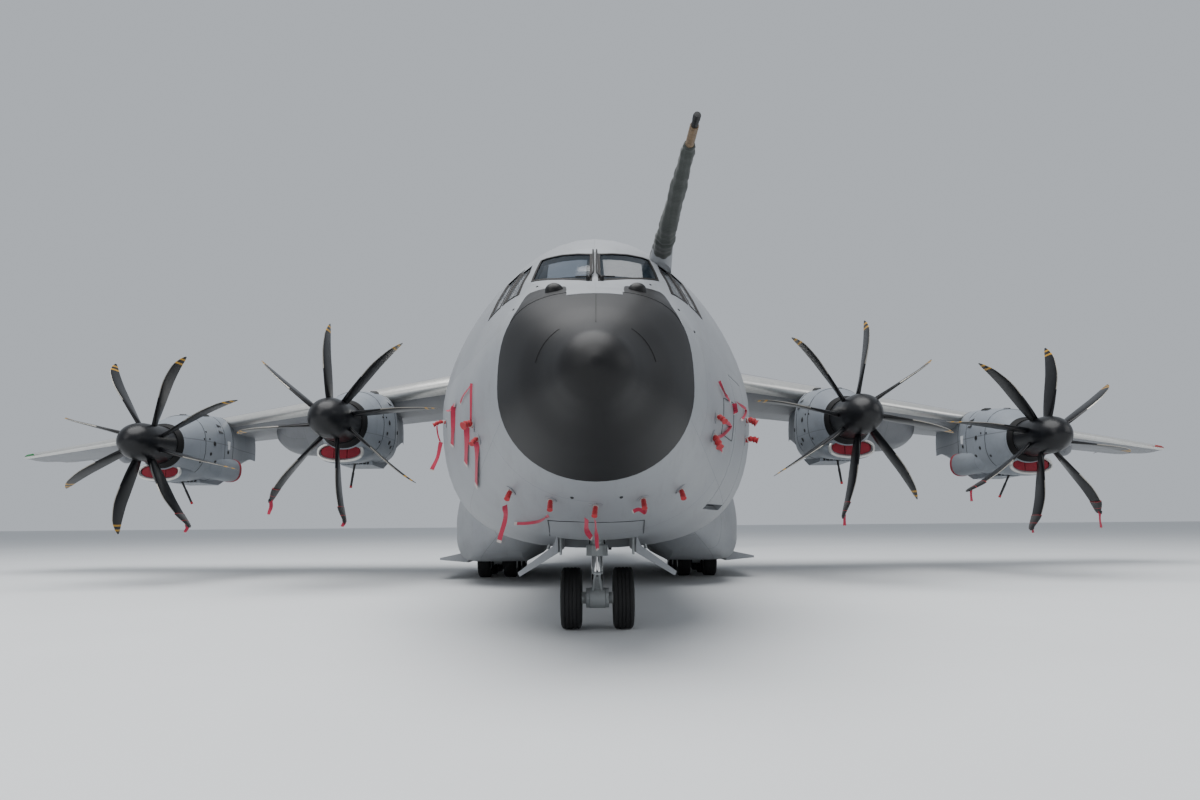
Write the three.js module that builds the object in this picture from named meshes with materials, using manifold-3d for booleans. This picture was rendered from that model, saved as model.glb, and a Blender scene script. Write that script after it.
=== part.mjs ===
// A four-propeller, high-wing military transport plane with a T-tail and a rear loading ramp.
// Every size below is the full-size aircraft's, in metres: x to port, y aft from the nose and z up from
// the ground. The exported group turns that into a half-size model in millimetres, with its origin on the
// ground under the middle of the aircraft.
import * as THREE from "three";
import { mergeVertices } from "three/addons/utils/BufferGeometryUtils.js";
import Module from "manifold-3d";

const wasm = await Module();
wasm.setup();

// Driving dimensions
const MODEL_SCALE = 1 / 2;
const LENGTH = 45.1;
const HALF_SPAN = 21.2;
const SEAT = 0.0008; // gap where two pieces meet face to face
const PLAY = 0.014; // clearance round a piece that moves
const WALL = 0.16; // skin, frame and lining of the fuselage together
const PIN = 0.03; // radius of a hinge pin
const NOSE_SIDES = 14; // sides of a control surface's round nose
const PIN_REACH = 0.05; // how far a pin goes past the end of its hinge

// Solids from three.js geometries

// A closed geometry as a solid that can be joined and cut.
function solid(geometry) {
  const bare = new THREE.BufferGeometry().setAttribute("position", geometry.getAttribute("position"));
  if (geometry.index) bare.setIndex(geometry.index);
  const merged = mergeVertices(bare, 1e-5);
  const vertProperties = new Float32Array(merged.attributes.position.array);
  const triVerts = new Uint32Array(merged.index.array);
  return new wasm.Manifold(new wasm.Mesh({ numProp: 3, vertProperties, triVerts }));
}

// A solid through rings of points, each ring an array of [x, y, z], closed with a fan at both ends.
// The second half of each ring is split the other way, so a ring that is alike left and right gives
// such a solid.
function loft(rings) {
  const count = rings[0].length;
  const points = rings.flat();
  const faces = [];
  for (let r = 0; r + 1 < rings.length; r++) {
    for (let i = 0; i < count; i++) {
      const a = r * count + i;
      const b = r * count + ((i + 1) % count);
      if (i < count / 2) faces.push([a, b, b + count], [a, b + count, a + count]);
      else faces.push([a, b, a + count], [b, b + count, a + count]);
    }
  }
  const middle = (ring) => [0, 1, 2].map((k) => ring.reduce((sum, p) => sum + p[k], 0) / count);
  const first = points.push(middle(rings[0])) - 1;
  const last = points.push(middle(rings[rings.length - 1])) - 1;
  const offset = (rings.length - 1) * count;
  for (let i = 0; i < count; i++) {
    const j = (i + 1) % count;
    faces.push([first, j, i], [last, offset + i, offset + j]);
  }
  const build = (list) => {
    const geometry = new THREE.BufferGeometry();
    geometry.setAttribute("position", new THREE.Float32BufferAttribute(points.flat(), 3));
    geometry.setIndex(list.flat());
    return solid(geometry);
  };
  const made = build(faces);
  return made.volume() > 0 ? made : build(faces.map(([a, b, c]) => [a, c, b]));
}

function box([x0, x1], [y0, y1], [z0, z1]) {
  const geometry = new THREE.BoxGeometry(x1 - x0, y1 - y0, z1 - z0);
  return solid(geometry.translate((x0 + x1) / 2, (y0 + y1) / 2, (z0 + z1) / 2));
}

// A round bar from one point to another; the end radii may differ.
function bar(from, to, radius, radiusAtEnd = radius, sides = 12) {
  const [a, b] = [new THREE.Vector3(...from), new THREE.Vector3(...to)];
  const along = b.clone().sub(a);
  const geometry = new THREE.CylinderGeometry(radiusAtEnd, radius, along.length(), sides);
  const turn = new THREE.Quaternion().setFromUnitVectors(new THREE.Vector3(0, 1, 0), along.normalize());
  geometry.applyQuaternion(turn);
  return solid(geometry.translate((a.x + b.x) / 2, (a.y + b.y) / 2, (a.z + b.z) / 2));
}

// The corner radius of a many-sided hole whose sides stay a given radius from the middle.
const roundAbout = (radius, sides) => radius / Math.cos(Math.PI / sides);

// A prism: an outline of [u, v] points pushed out along one axis. The other two axes, in order, carry
// u and v.
function prism(axis, outline, [low, high]) {
  const shape = new THREE.Shape(outline.map(([u, v]) => new THREE.Vector2(u, v)));
  const geometry = new THREE.ExtrudeGeometry(shape, { depth: high - low, bevelEnabled: false });
  geometry.translate(0, 0, low);
  const columns = {
    x: [[0, 0, 1], [1, 0, 0], [0, 1, 0]],
    y: [[1, 0, 0], [0, 0, 1], [0, 1, 0]],
    z: [[1, 0, 0], [0, 1, 0], [0, 0, 1]],
  }[axis];
  const [rx, ry, rz] = columns;
  const place = new THREE.Matrix4().set(...rx, 0, ...ry, 0, ...rz, 0, 0, 0, 0, 1);
  geometry.applyMatrix4(place);
  if (place.determinant() < 0) reverseFaces(geometry);
  return solid(geometry);
}

function reverseFaces(geometry) {
  const p = geometry.getAttribute("position");
  const corner = (i) => new THREE.Vector3().fromBufferAttribute(p, i);
  for (let i = 0; i < p.count; i += 3) {
    const [first, third] = [corner(i), corner(i + 2)];
    p.setXYZ(i, third.x, third.y, third.z);
    p.setXYZ(i + 2, first.x, first.y, first.z);
  }
}

const join = (...parts) => parts.reduce((sum, part) => sum.add(part));
const cut = (body, ...tools) => tools.reduce((rest, tool) => rest.subtract(tool), body);
const mirrored = (part) => part.mirror([1, 0, 0]);
const biggest = (part) => part.decompose().sort((a, b) => b.volume() - a.volume())[0];

// Fuselage sections

// Columns: y station, top, bottom and widest height, half width, then how full the curve is at the crown,
// at the side above the widest point and at the bilge (0.55 is round, less is straighter, more is squarer).
const FUSELAGE = [
  [0.0, 3.24, 3.16, 3.2, 0.04, 0.55, 0.55, 0.55],
  [0.06, 3.39, 3.01, 3.2, 0.19, 0.55, 0.55, 0.55],
  [0.2, 3.55, 2.85, 3.2, 0.35, 0.55, 0.55, 0.55],
  [0.4, 3.66, 2.73, 3.2, 0.47, 0.55, 0.55, 0.55],
  [0.62, 3.79, 2.61, 3.2, 0.6, 0.58, 0.58, 0.55],
  [1.0, 4.06, 2.38, 3.2, 0.87, 0.68, 0.62, 0.56],
  [1.6, 4.41, 2.1, 3.21, 1.175, 0.86, 0.66, 0.58],
  [2.3, 4.76, 1.83, 3.22, 1.47, 0.84, 0.46, 0.58],
  [3.1, 5.37, 1.58, 3.24, 1.78, 0.74, 0.26, 0.6],
  [4.0, 5.9, 1.38, 3.28, 2.1, 0.7, 0.15, 0.66],
  [5.2, 6.38, 1.24, 3.4, 2.46, 0.66, 0.2, 0.72],
  [6.5, 6.7, 1.2, 3.6, 2.74, 0.6, 0.36, 0.74],
  [8.4, 6.87, 1.2, 4.0, 2.82, 0.55, 0.55, 0.7],
  [16.0, 6.87, 1.2, 4.03, 2.82, 0.55, 0.55, 0.7],
  [24.3, 6.87, 1.2, 4.03, 2.82, 0.55, 0.55, 0.75],
  [27.0, 6.87, 1.72, 4.2, 2.74, 0.55, 0.55, 0.8],
  [30.0, 6.86, 2.52, 4.5, 2.56, 0.55, 0.55, 0.8],
  [33.0, 6.82, 3.4, 4.9, 2.18, 0.55, 0.55, 0.75],
  [36.2, 6.74, 4.3, 5.4, 1.62, 0.55, 0.55, 0.68],
  [39.0, 6.62, 5.05, 5.8, 0.95, 0.55, 0.55, 0.6],
  [41.2, 6.46, 5.62, 6.05, 0.4, 0.55, 0.55, 0.55],
  [42.0, 6.34, 5.86, 6.1, 0.16, 0.55, 0.55, 0.55],
];
const RING_QUARTER = 6; // points on each quarter of a section
const [RADOME_END, NOSE_END, HOLD_END, TAIL_END] = [1.6, 8.4, 24.3, 42.0];

// The fuselage's section at any station, from the table by a smooth curve through its rows.
function sectionAt(y) {
  const last = FUSELAGE.length - 1;
  let i = FUSELAGE.findIndex((row) => row[0] >= y);
  i = Math.min(Math.max(i, 1), last);
  const [a, b] = [FUSELAGE[i - 1], FUSELAGE[i]];
  const t = (y - a[0]) / (b[0] - a[0]);
  const slope = (low, high, k) => (high[k] - low[k]) / (high[0] - low[0]);
  return a.map((value, k) => {
    if (k === 0) return y;
    const step = b[0] - a[0];
    const straight = slope(a, b, k);
    const before = i > 1 ? slope(FUSELAGE[i - 2], a, k) : straight;
    const after = i < last ? slope(b, FUSELAGE[i + 1], k) : straight;
    const gentle = (p, q) => (p * q <= 0 ? 0 : (2 * p * q) / (p + q));
    const [m0, m1] = [gentle(before, straight) * step, gentle(straight, after) * step];
    const [t2, t3] = [t * t, t * t * t];
    return (2 * t3 - 3 * t2 + 1) * value + (t3 - 2 * t2 + t) * m0 + (3 * t2 - 2 * t3) * b[k] + (t3 - t2) * m1;
  });
}

// One ring of the fuselage, taken in by a distance all round.
function fuselageRing(y, inset = 0) {
  const [, top, bottom, wide, half, crown, side, bilge] = sectionAt(y);
  const [h, up, down] = [half - inset, top - inset - wide, wide - bottom - inset];
  const quarter = (width, height, flat, steep) =>
    Array.from({ length: RING_QUARTER }, (_, i) => {
      const t = i / RING_QUARTER;
      const s = 1 - t;
      const across = 3 * s * s * t * flat + 3 * s * t * t + t * t * t;
      const rise = s * s * s + 3 * s * s * t + 3 * s * t * t * steep;
      return [width * across, height * rise];
    });
  const upper = quarter(h, up, crown, side);
  const lower = quarter(h, down, bilge, bilge);
  return [
    ...upper.map(([u, v]) => [u, y, wide + v]),
    ...[[h, 0], ...lower.slice(1).reverse()].map(([u, v]) => [u, y, wide - v]),
    ...lower.map(([u, v]) => [-u, y, wide - v]),
    ...[[h, 0], ...upper.slice(1).reverse()].map(([u, v]) => [-u, y, wide + v]),
  ];
}

function fuselageLoft(stations, inset = 0) {
  return loft(stations.map((y) => fuselageRing(y, inset)));
}

// How far out the skin is at a station and a height below the widest point.
function skinHalfWidth(y, z) {
  const side = fuselageRing(y).slice(RING_QUARTER, 2 * RING_QUARTER + 1);
  const i = side.findIndex((point) => point[2] <= z);
  const [above, below] = [side[i - 1], side[i]];
  const t = (above[2] - z) / (above[2] - below[2]);
  return above[0] + t * (below[0] - above[0]);
}

const NOSE_STATIONS = [0, 0.06, 0.2, 0.4, 0.62, 1.0, 1.3, 1.6 - SEAT];
const FORWARD_STATIONS = [1.6, 1.95, 2.3, 2.7, 3.1, 3.5, 4.0, 4.6, 5.2, 5.8, 6.5, 7.4, 8.4 - SEAT];
const CENTRE_STATIONS = [8.4, 16.0, 24.3 - SEAT];
const REAR_STATIONS = [24.3, 25.6, 27.0, 28.5, 30.0, 31.5, 33.0, 34.6, 36.2, 37.6, 39.0, 40.2, 41.2, 42.0];
const [CABIN_START, CABIN_END] = [2.0, 37.4];
const MIDDLE_STATIONS = [...FORWARD_STATIONS.slice(2, -1), ...CENTRE_STATIONS.slice(0, -1)];
const CABIN_REAR = REAR_STATIONS.filter((y) => y < CABIN_END);
const CABIN_STATIONS = [CABIN_START, ...MIDDLE_STATIONS, ...CABIN_REAR, CABIN_END];

const skin = fuselageLoft([...FORWARD_STATIONS.slice(0, 2), ...MIDDLE_STATIONS, ...REAR_STATIONS], -SEAT);
const cabinSpace = fuselageLoft(CABIN_STATIONS, WALL);
const linedSpace = fuselageLoft(CABIN_STATIONS, WALL + SEAT);

// A box in a hinge's own frame: along the axis, aft of it and above it.
function hingeFrame(from, to) {
  const origin = new THREE.Vector3(...from);
  const along = new THREE.Vector3(...to).sub(origin);
  const length = along.length();
  along.normalize();
  const guess = new THREE.Vector3(0, 1, 0);
  const up = new THREE.Vector3().crossVectors(along, guess).normalize();
  const aft = new THREE.Vector3().crossVectors(up, along).normalize();
  const matrix = new THREE.Matrix4().makeBasis(along, aft, up).setPosition(origin);
  return { matrix, length };
}

function boxOnHinge(hinge, [a0, a1], [b0, b1], [c0, c1]) {
  const geometry = new THREE.BoxGeometry(a1 - a0, b1 - b0, c1 - c0);
  geometry.translate((a0 + a1) / 2, (b0 + b1) / 2, (c0 + c1) / 2);
  return solid(geometry.applyMatrix4(hinge.matrix));
}

// A round bar along a hinge, between two distances from its start.
function barOnHinge(hinge, [a0, a1], radius, radiusAtEnd = radius, sides = 12) {
  const at = (d) => new THREE.Vector3(d, 0, 0).applyMatrix4(hinge.matrix).toArray();
  return bar(at(a0), at(a1), radius, radiusAtEnd, sides);
}

// The pins at both ends of a hinge, and the holes that they turn in.
function hingePins(hinge, radius = PIN) {
  const ends = [[-PIN_REACH, 2 * PLAY], [hinge.length - 2 * PLAY, hinge.length + PIN_REACH]];
  const pins = ends.map((end) => barOnHinge(hinge, end, radius, radius, 8));
  const bore = roundAbout(radius + SEAT, 8);
  const holes = ends.map(([a0, a1]) => barOnHinge(hinge, [a0 - SEAT, a1 + SEAT], bore, bore, 8));
  return { pins: join(...pins), holes: join(...holes) };
}

// A control surface cut out of the back of a wing along a hinge line.
// Its nose is round about the hinge line, a little wider than the wing is thick there, so it turns inside the
// matching hollow.
function hingedSurface(wing, from, to, noseFrom, noseTo, reach) {
  const hinge = hingeFrame(from, to);
  const nose = barOnHinge(hinge, [PLAY, hinge.length - PLAY], noseFrom, noseTo, NOSE_SIDES);
  const hollow = barOnHinge(
    hinge,
    [0, hinge.length],
    roundAbout(noseFrom + PLAY, NOSE_SIDES),
    roundAbout(noseTo + PLAY, NOSE_SIDES),
    NOSE_SIDES,
  );
  const inside = [PLAY, hinge.length - PLAY];
  const behind = boxOnHinge(hinge, inside, [0, reach], [-reach, reach]);
  const { pins, holes } = hingePins(hinge);
  const surface = join(wing.intersect(behind), wing.intersect(nose), pins);
  const space = boxOnHinge(hinge, [0, hinge.length], [-PLAY / 2, reach], [-reach, reach]);
  return { surface, rest: cut(wing, space, hollow, holes) };
}

// Wing

const WING_ROOT = 2.8; // where the panel starts to slope down, outside the cabin
const WING_LE_SLOPE = 0.3316;
const WING_LE_START = 14.65;
const [ROOT_CHORD, TIP_CHORD] = [8.0, 2.6];
const [WING_ROOT_Z, WING_TIP_Z] = [6.0, 4.21];
// Columns: how far along the chord, then the height as a part of the thickness.
const WING_PROFILE = [
  [0, 0], [0.015, 0.2], [0.06, 0.36], [0.16, 0.52], [0.32, 0.6], [0.52, 0.55], [0.74, 0.36], [0.9, 0.16],
  [1, 0.02], [1, -0.02],
  [0.85, -0.06], [0.62, -0.22], [0.4, -0.38], [0.2, -0.4], [0.07, -0.3], [0.018, -0.16],
];

function wingSection(x) {
  const t = x / HALF_SPAN;
  const down = Math.max(0, (x - WING_ROOT) / (HALF_SPAN - WING_ROOT));
  return {
    x,
    front: WING_LE_START + WING_LE_SLOPE * x,
    chord: ROOT_CHORD + (TIP_CHORD - ROOT_CHORD) * t,
    thickness: 1.2 + (0.31 - 1.2) * t,
    z: WING_ROOT_Z + (WING_TIP_Z - WING_ROOT_Z) * down,
  };
}

function wingRing({ x, front, chord, thickness, z }, grow = 0) {
  const [long, thick] = [chord + 2 * grow, thickness + 2.5 * grow];
  return WING_PROFILE.map(([c, h]) => [x, front - grow + c * long, z + h * thick]);
}

const wingTip = { ...wingSection(HALF_SPAN), front: 21.75, chord: 2.4, thickness: 0.12 };
const wingGrown = (grow) => loft([
  ...[SEAT / 2, WING_ROOT, HALF_SPAN - 0.25].map((x) => wingRing(wingSection(x), grow)),
  wingRing(wingTip, grow),
]);
const wholeWing = wingGrown(0);
const wingSpaceLeft = wingGrown(2 * SEAT).intersect(box([-1, 4], [10, 30], [0, 9]));
const wingSpace = join(wingSpaceLeft, mirrored(wingSpaceLeft), box([-0.01, 0.01], [14.66, 22.6], [5.6, 6.6]));

// A point inside the wing at part of its chord, below its leading edge's height by part of the thickness.
function wingPoint(x, part, height) {
  const s = wingSection(x);
  return [x, s.front + part * s.chord, s.z + height * s.thickness];
}

// Columns: name, inner and outer end, place of the hinge along the chord, its height, then the nose's
// radius inside and outside.
const TRAILING_PIECES = [
  ["flap_inner", 3.05, 9.2, 0.74, 0.1, 0.29, 0.22],
  ["flap_outer", 9.35, 15.3, 0.74, 0.1, 0.22, 0.153],
  ["aileron", 15.45, 20.6, 0.74, 0.11, 0.146, 0.09],
];
let leftWing = wholeWing;
const trailing = TRAILING_PIECES.map(([name, inner, outer, part, height, noseIn, noseOut]) => {
  const [from, to] = [wingPoint(inner, part, height), wingPoint(outer, part, height)];
  const { surface, rest } = hingedSurface(leftWing, from, to, noseIn, noseOut, 4);
  leftWing = rest;
  return [name, surface];
});

// Fixed fairings under the wing, ahead of the flaps' and ailerons' hinges.
// Columns: distance out, half width, depth below the wing's middle, start along the chord.
const HINGE_FAIRINGS = [[4.3, 0.22, 0.95, 0.42], [10.05, 1.15, 1.2, 0.16], [17.9, 0.2, 0.5, 0.45]];
function hingeFairing([x, half, depth, start]) {
  const s = wingSection(x);
  // Columns: along the fairing, part of its width, part of its depth.
  const rows = [[0, 0.25, 0.25], [0.12, 0.6, 0.55], [0.35, 0.92, 0.88], [0.7, 1, 1], [1, 0.8, 0.82]];
  const end = 0.65 * s.chord;
  return loft(rows.map(([t, w, d]) => {
    const y = s.front + start * s.chord + t * (end - start * s.chord);
    const low = [[0.97, 0.55], [0.8, 0.82], [0.45, 0.96], [0, 1]];
    const right = low.map(([u, v]) => [x + u * w * half, y, s.z - v * d * depth]);
    const left = low.slice(0, -1).reverse().map(([u, v]) => [x - u * w * half, y, s.z - v * d * depth]);
    return [[x + w * half, y, s.z], ...right, ...left, [x - w * half, y, s.z]];
  }));
}
const wingWithFairings = join(leftWing, ...HINGE_FAIRINGS.map(hingeFairing));

// Fuselage pieces

// Window outlines: the windscreen's in front view as [x, z], the side panes' in side view as [y, z].
const WINDSCREEN = [[0.1, 4.77], [0.86, 4.925], [0.8, 5.53], [0.1, 5.42]];
const SIDE_PANES = [
  ["side_window_front", [[2.72, 4.69], [3.12, 4.67], [4.02, 5.42], [3.85, 5.5]]],
  ["side_window_rear", [[3.24, 4.66], [3.78, 4.63], [4.6, 5.42], [4.25, 5.52]]],
];
const windscreenRegion = prism("y", WINDSCREEN, [2.0, 4.0]);
const sidePaneRegions = SIDE_PANES.map(([, outline]) => prism("x", outline, [0.95, 3]));
const windowRegions = [windscreenRegion, ...sidePaneRegions];

// The crew door is cut square to the skin's line in plan and hangs on a hinge inside its lower edge.
const [CREW_DOOR_FRONT, CREW_DOOR_REAR, CREW_DOOR_Z, CREW_DOOR_HEIGHT] = [4.05, 5.05, 1.94, 1.85];
const CREW_DOOR_EDGE = 0.045; // from the hinge to the skin and to the door's lower edge
const crewHinge = hingeFrame(...[CREW_DOOR_FRONT, CREW_DOOR_REAR].map((y) => [
  skinHalfWidth(y, CREW_DOOR_Z) - CREW_DOOR_EDGE, y, CREW_DOOR_Z,
]));
const crewDoorRegion = (grow) => boxOnHinge(
  crewHinge,
  [PLAY - grow, crewHinge.length - PLAY + grow],
  [-2, 0.9],
  [-CREW_DOOR_EDGE - grow, CREW_DOOR_HEIGHT + grow],
);
const crewPins = hingePins(crewHinge, 0.025);
const crewDoorTurn = barOnHinge(crewHinge, [0, crewHinge.length], 2 * CREW_DOOR_EDGE + PLAY);
const bayNose = box([-0.56, 0.56], [4.0, 6.35], [0, 2.6]);
const fuselageShell = skin.subtract(cabinSpace);
const between = (y0, y1) => box([-9, 9], [y0, y1], [0, 9]);

const noseBayWalls = box([-0.7, 0.7], [3.9, 6.45], [1.2, 2.7]).intersect(skin);

const forward = cut(
  fuselageShell.intersect(between(RADOME_END, NOSE_END - SEAT)).add(noseBayWalls),
  bayNose,
  ...windowRegions,
  ...windowRegions.map(mirrored),
  crewDoorRegion(PLAY),
  crewDoorTurn,
  crewPins.holes,
);
const glassShell = fuselageLoft(FORWARD_STATIONS, 0.02).subtract(fuselageLoft(CABIN_STATIONS, 0.1));
// A region taken in by a small distance on every side.
const shrink = (part, by) => [[1, 0, 0], [0, 1, 0], [0, 0, 1]].reduce(
  (rest, step) => rest
    .intersect(part.translate(step.map((c) => c * by)))
    .intersect(part.translate(step.map((c) => -c * by))),
  part,
);
const [windscreen, ...sidePanes] = windowRegions.map((region) => glassShell.intersect(shrink(region, SEAT)));
const crewDoor = fuselageShell.intersect(crewDoorRegion(0)).add(crewPins.pins);

const radome = cut(fuselageLoft(NOSE_STATIONS), fuselageLoft([0.62, 1.0, 1.3, 1.6], 0.1));

const HOLD_FLOOR = 1.8;
const centre = cut(fuselageShell.intersect(between(NOSE_END, HOLD_END - SEAT)), wingSpace);
const cargoFloor = linedSpace.intersect(box([-3, 3], [7.0, HOLD_END - SEAT], [0, HOLD_FLOOR]));
const DECK_Z = 3.45;
const stairwell = box([1.15, 3], [3.85, 5.15], [3.2, 3.6]);
const deckFloor = linedSpace.intersect(box([-3, 3], [2.5, 5.3], [DECK_Z - 0.15, DECK_Z])).subtract(stairwell);
const deckWall = linedSpace.intersect(box([-3, 3], [5.15, 5.3], [DECK_Z - 0.15, 7]));
const deckDoorway = box([-0.35, 0.35], [5, 5.5], [DECK_Z, 5.45]);
const instrumentPanel = linedSpace.intersect(
  prism("x", [[2.65, DECK_Z - 0.01], [3.0, DECK_Z - 0.01], [2.9, 4.4], [3.0, 4.6], [2.5, 4.6]], [-1.2, 1.2]));
const chair = (x) => join(
  box([x - 0.26, x + 0.26], [3.5, 4.0], [DECK_Z - 0.01, 3.9]),
  box([x - 0.26, x + 0.26], [4.0, 4.14], [DECK_Z - 0.01, 4.75]),
);
const flightDeck = join(deckFloor, deckWall.subtract(deckDoorway), instrumentPanel, chair(0.6), chair(-0.6));

// Ramp and rear door. The ramp hinges at its front edge and the door at its rear edge, and they meet on
// a slope.
const [RAMP_START, DOOR_END] = [24.4, 36.0];
const [RAMP_HINGE_Y, RAMP_HINGE_Z] = [24.45, 1.28];
const [DOOR_HINGE_Y, DOOR_HINGE_Z] = [35.94, 4.54];
const [MEETING_Y, MEETING_Z, MEETING_SLOPE, MEETING_GAP] = [29.8, 2.47, -0.36, 0.04];
const meeting = (z) => MEETING_Y + MEETING_SLOPE * (z - MEETING_Z);
const rampRegion = (front, rear) => prism("x", [
  [RAMP_START - front, -1],
  [meeting(-1) + rear, -1],
  [meeting(2.95 + rear) + rear, 2.95 + rear],
  [RAMP_START - front, 1.8 + rear],
], [-4, 4]);
const doorPlan = (grow) => prism("z", [
  [-1.66 - grow, 29.0],
  [1.66 + grow, 29.0],
  [1.0 + grow, DOOR_END + 3 * grow],
  [-1.0 - grow, DOOR_END + 3 * grow],
], [0, 5.2]);
const behindMeeting = prism("x", [
  [meeting(-1) + MEETING_GAP, -1],
  [meeting(-1) + 12, -1],
  [meeting(6) + 12, 6],
  [meeting(6) + MEETING_GAP, 6],
], [-4, 4]);
// On each side a lug on the fuselage holds the ramp's pin in a notch in the ramp.
const rampNotch = box([0.28, 0.42], [24.3, 24.53], [1.1, 1.42]);
const rampLug = box([0.3, 0.4], [24.32, 24.5], [1.24, 1.34]);
const rampPin = (radius, sides) =>
  bar([0.24, RAMP_HINGE_Y, RAMP_HINGE_Z], [0.46, RAMP_HINGE_Y, RAMP_HINGE_Z], radius, radius, sides);
const rampLugHole = bar([0.2, RAMP_HINGE_Y, RAMP_HINGE_Z], [0.5, RAMP_HINGE_Y, RAMP_HINGE_Z],
  roundAbout(PIN + SEAT, 12));
const doorPin = (radius, reach) =>
  bar([0.92, DOOR_HINGE_Y, DOOR_HINGE_Z], [reach, DOOR_HINGE_Y, DOOR_HINGE_Z], radius);
const bothSides = (part) => [part, mirrored(part)];
const rearOpen = cut(
  fuselageShell.intersect(between(HOLD_END, TAIL_END)),
  rampRegion(3 * PLAY, PLAY),
  doorPlan(PLAY).intersect(behindMeeting.translate([0, -MEETING_GAP, 0])),
  ...bothSides(doorPin(roundAbout(PIN + SEAT, 12), 1.12 + SEAT)),
);
const rear = cut(join(rearOpen, ...bothSides(rampLug)), ...bothSides(rampLugHole));
const ramp = join(
  cut(fuselageLoft(REAR_STATIONS).intersect(rampRegion(0, 0)), ...bothSides(rampNotch)),
  ...bothSides(rampPin(PIN, 12)),
);
const cargoDoor = join(
  fuselageShell.intersect(doorPlan(0)).intersect(behindMeeting),
  ...bothSides(doorPin(PIN, 1.12)),
);

// The hood over the wing on the fuselage's back.
// Columns: y, half width, height of its lower edge and of its top.
const HOOD = [
  [12.4, 0.9, 6.6, 6.86], [13.4, 1.7, 6.3, 7.0], [14.8, 2.45, 5.95, 7.13], [16.2, 2.7, 5.8, 7.16],
  [21.8, 2.7, 5.8, 7.16], [23.6, 2.2, 6.1, 7.05], [25.4, 1.1, 6.6, 6.88],
];
const HOOD_SIDE = [[1, 0], [0.96, 0.38], [0.82, 0.7], [0.5, 0.92], [0, 1]];
const hoodRing = ([y, half, low, top]) => [
  ...HOOD_SIDE.map(([u, v]) => [u * half, y, low + v * (top - low)]),
  ...HOOD_SIDE.slice(0, -1).reverse().map(([u, v]) => [-u * half, y, low + v * (top - low)]),
];
const backOfFuselage = fuselageLoft([10, 16.0, 24.3, 27.0], -2 * SEAT);
const wingInHood = wingGrown(3 * SEAT).intersect(box([-1, 4], [10, 30], [0, 9]));
const wingFairing = biggest(cut(
  loft(HOOD.map(hoodRing)),
  backOfFuselage,
  wingInHood,
  mirrored(wingInHood),
  box([-0.01, 0.01], [14.6, 22.7], [5, 6.74]),
));

// Tail

// Columns: height, leading edge, chord, thickness.
const FIN = [[6.3, 33.0, 9.4, 0.85], [14.25, 39.3, 4.6, 0.5]];
const FIN_PROFILE = [[0, 0], [0.02, 0.2], [0.1, 0.42], [0.3, 0.5], [0.6, 0.36], [1, 0.02]];
function symmetricRing(place, front, chord, thickness) {
  const side = (sign) => FIN_PROFILE.map(([c, h]) => place(front + c * chord, sign * h * thickness));
  return [...side(1), ...side(-1).slice(1).reverse()];
}
const finRings = FIN.map(([z, front, chord, thickness]) =>
  symmetricRing((y, u) => [u, y, z], front, chord, thickness));
const finWhole = loft(finRings).subtract(fuselageLoft(REAR_STATIONS, -2 * SEAT));
const rudderCut = hingedSurface(finWhole, [0, 40.15, 7.3], [0, 42.4, 13.7], 0.216, 0.145, 5);
const rudder = rudderCut.surface;

const TAILPLANE_Z = 14.3;
// Columns: distance from the middle, leading edge, chord, thickness.
const TAILPLANE = [[0, 39.6, 4.6, 0.5], [7.3, 42.9, 2.2, 0.24], [7.55, 43.25, 1.85, 0.1]];
function tailplaneLoft(grow) {
  const ring = (side) => ([x, front, chord, thickness]) => {
    const place = (y, u) => [side * x, y, TAILPLANE_Z + u];
    return symmetricRing(place, front - grow, chord + 2 * grow, thickness + 3 * grow);
  };
  return loft([...TAILPLANE.slice(1).reverse().map(ring(-1)), ...TAILPLANE.map(ring(1))]);
}
const elevatorAxis = [[0.45, 42.95, TAILPLANE_Z], [7.2, 44.3, TAILPLANE_Z]];
const elevatorCut = hingedSurface(tailplaneLoft(0), ...elevatorAxis, 0.138, 0.085, 3);
const elevator = elevatorCut.surface;
const tailplane = elevatorCut.rest.intersect(mirrored(elevatorCut.rest));
const fin = rudderCut.rest.subtract(tailplaneLoft(SEAT));

// Sponsons with their wheel bays

// Columns: y, half width outside, bottom, top.
const SPONSON = [
  [13.0, 2.6, 1.35, 2.5], [13.5, 3.25, 0.95, 2.85], [14.3, 3.72, 0.7, 3.1], [15.6, 4.02, 0.58, 3.25],
  [22.6, 4.02, 0.58, 3.25], [24.2, 3.6, 0.8, 3.0], [26.0, 2.75, 1.45, 2.4],
];
const SPONSON_DEPTH = 2.67; // height that the corner sizes below belong to
function sponsonRing([y, outer, bottom, top]) {
  const k = (top - bottom) / SPONSON_DEPTH;
  return [
    [1.1, y, bottom + 0.85 * k], [2.0, y, bottom],
    [outer - 0.5 * k, y, bottom], [outer - 0.15 * k, y, bottom + 0.12 * k],
    [outer, y, bottom + 0.45 * k], [outer, y, top - 1.25 * k], [outer - 0.12 * k, y, top - 0.75 * k],
    [outer - 0.45 * k, y, top - 0.3 * k], [outer - 1.0 * k, y, top], [1.1, y, top],
  ];
}
const [BAY_IN, BAY_OUT, BAY_TOP, BAY_FRONT, BAY_REAR] = [2.36, 3.8, 1.75, 16.5, 22.0];
const bay = box([BAY_IN, BAY_OUT], [BAY_FRONT, BAY_REAR], [0, BAY_TOP]);
const fuselageSide = fuselageLoft([8.4, 16.0, 24.3, ...REAR_STATIONS.slice(1)], -2 * SEAT);
const besideRamp = box([0, 2.37], [RAMP_START - 0.2, 27], [0, 4]); // kept clear for the ramp as it goes down
const sponson = biggest(cut(loft(SPONSON.map(sponsonRing)), fuselageSide, bay, besideRamp));
const centreWithBays = cut(centre, bay, mirrored(bay));

// Wheels and legs

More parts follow.
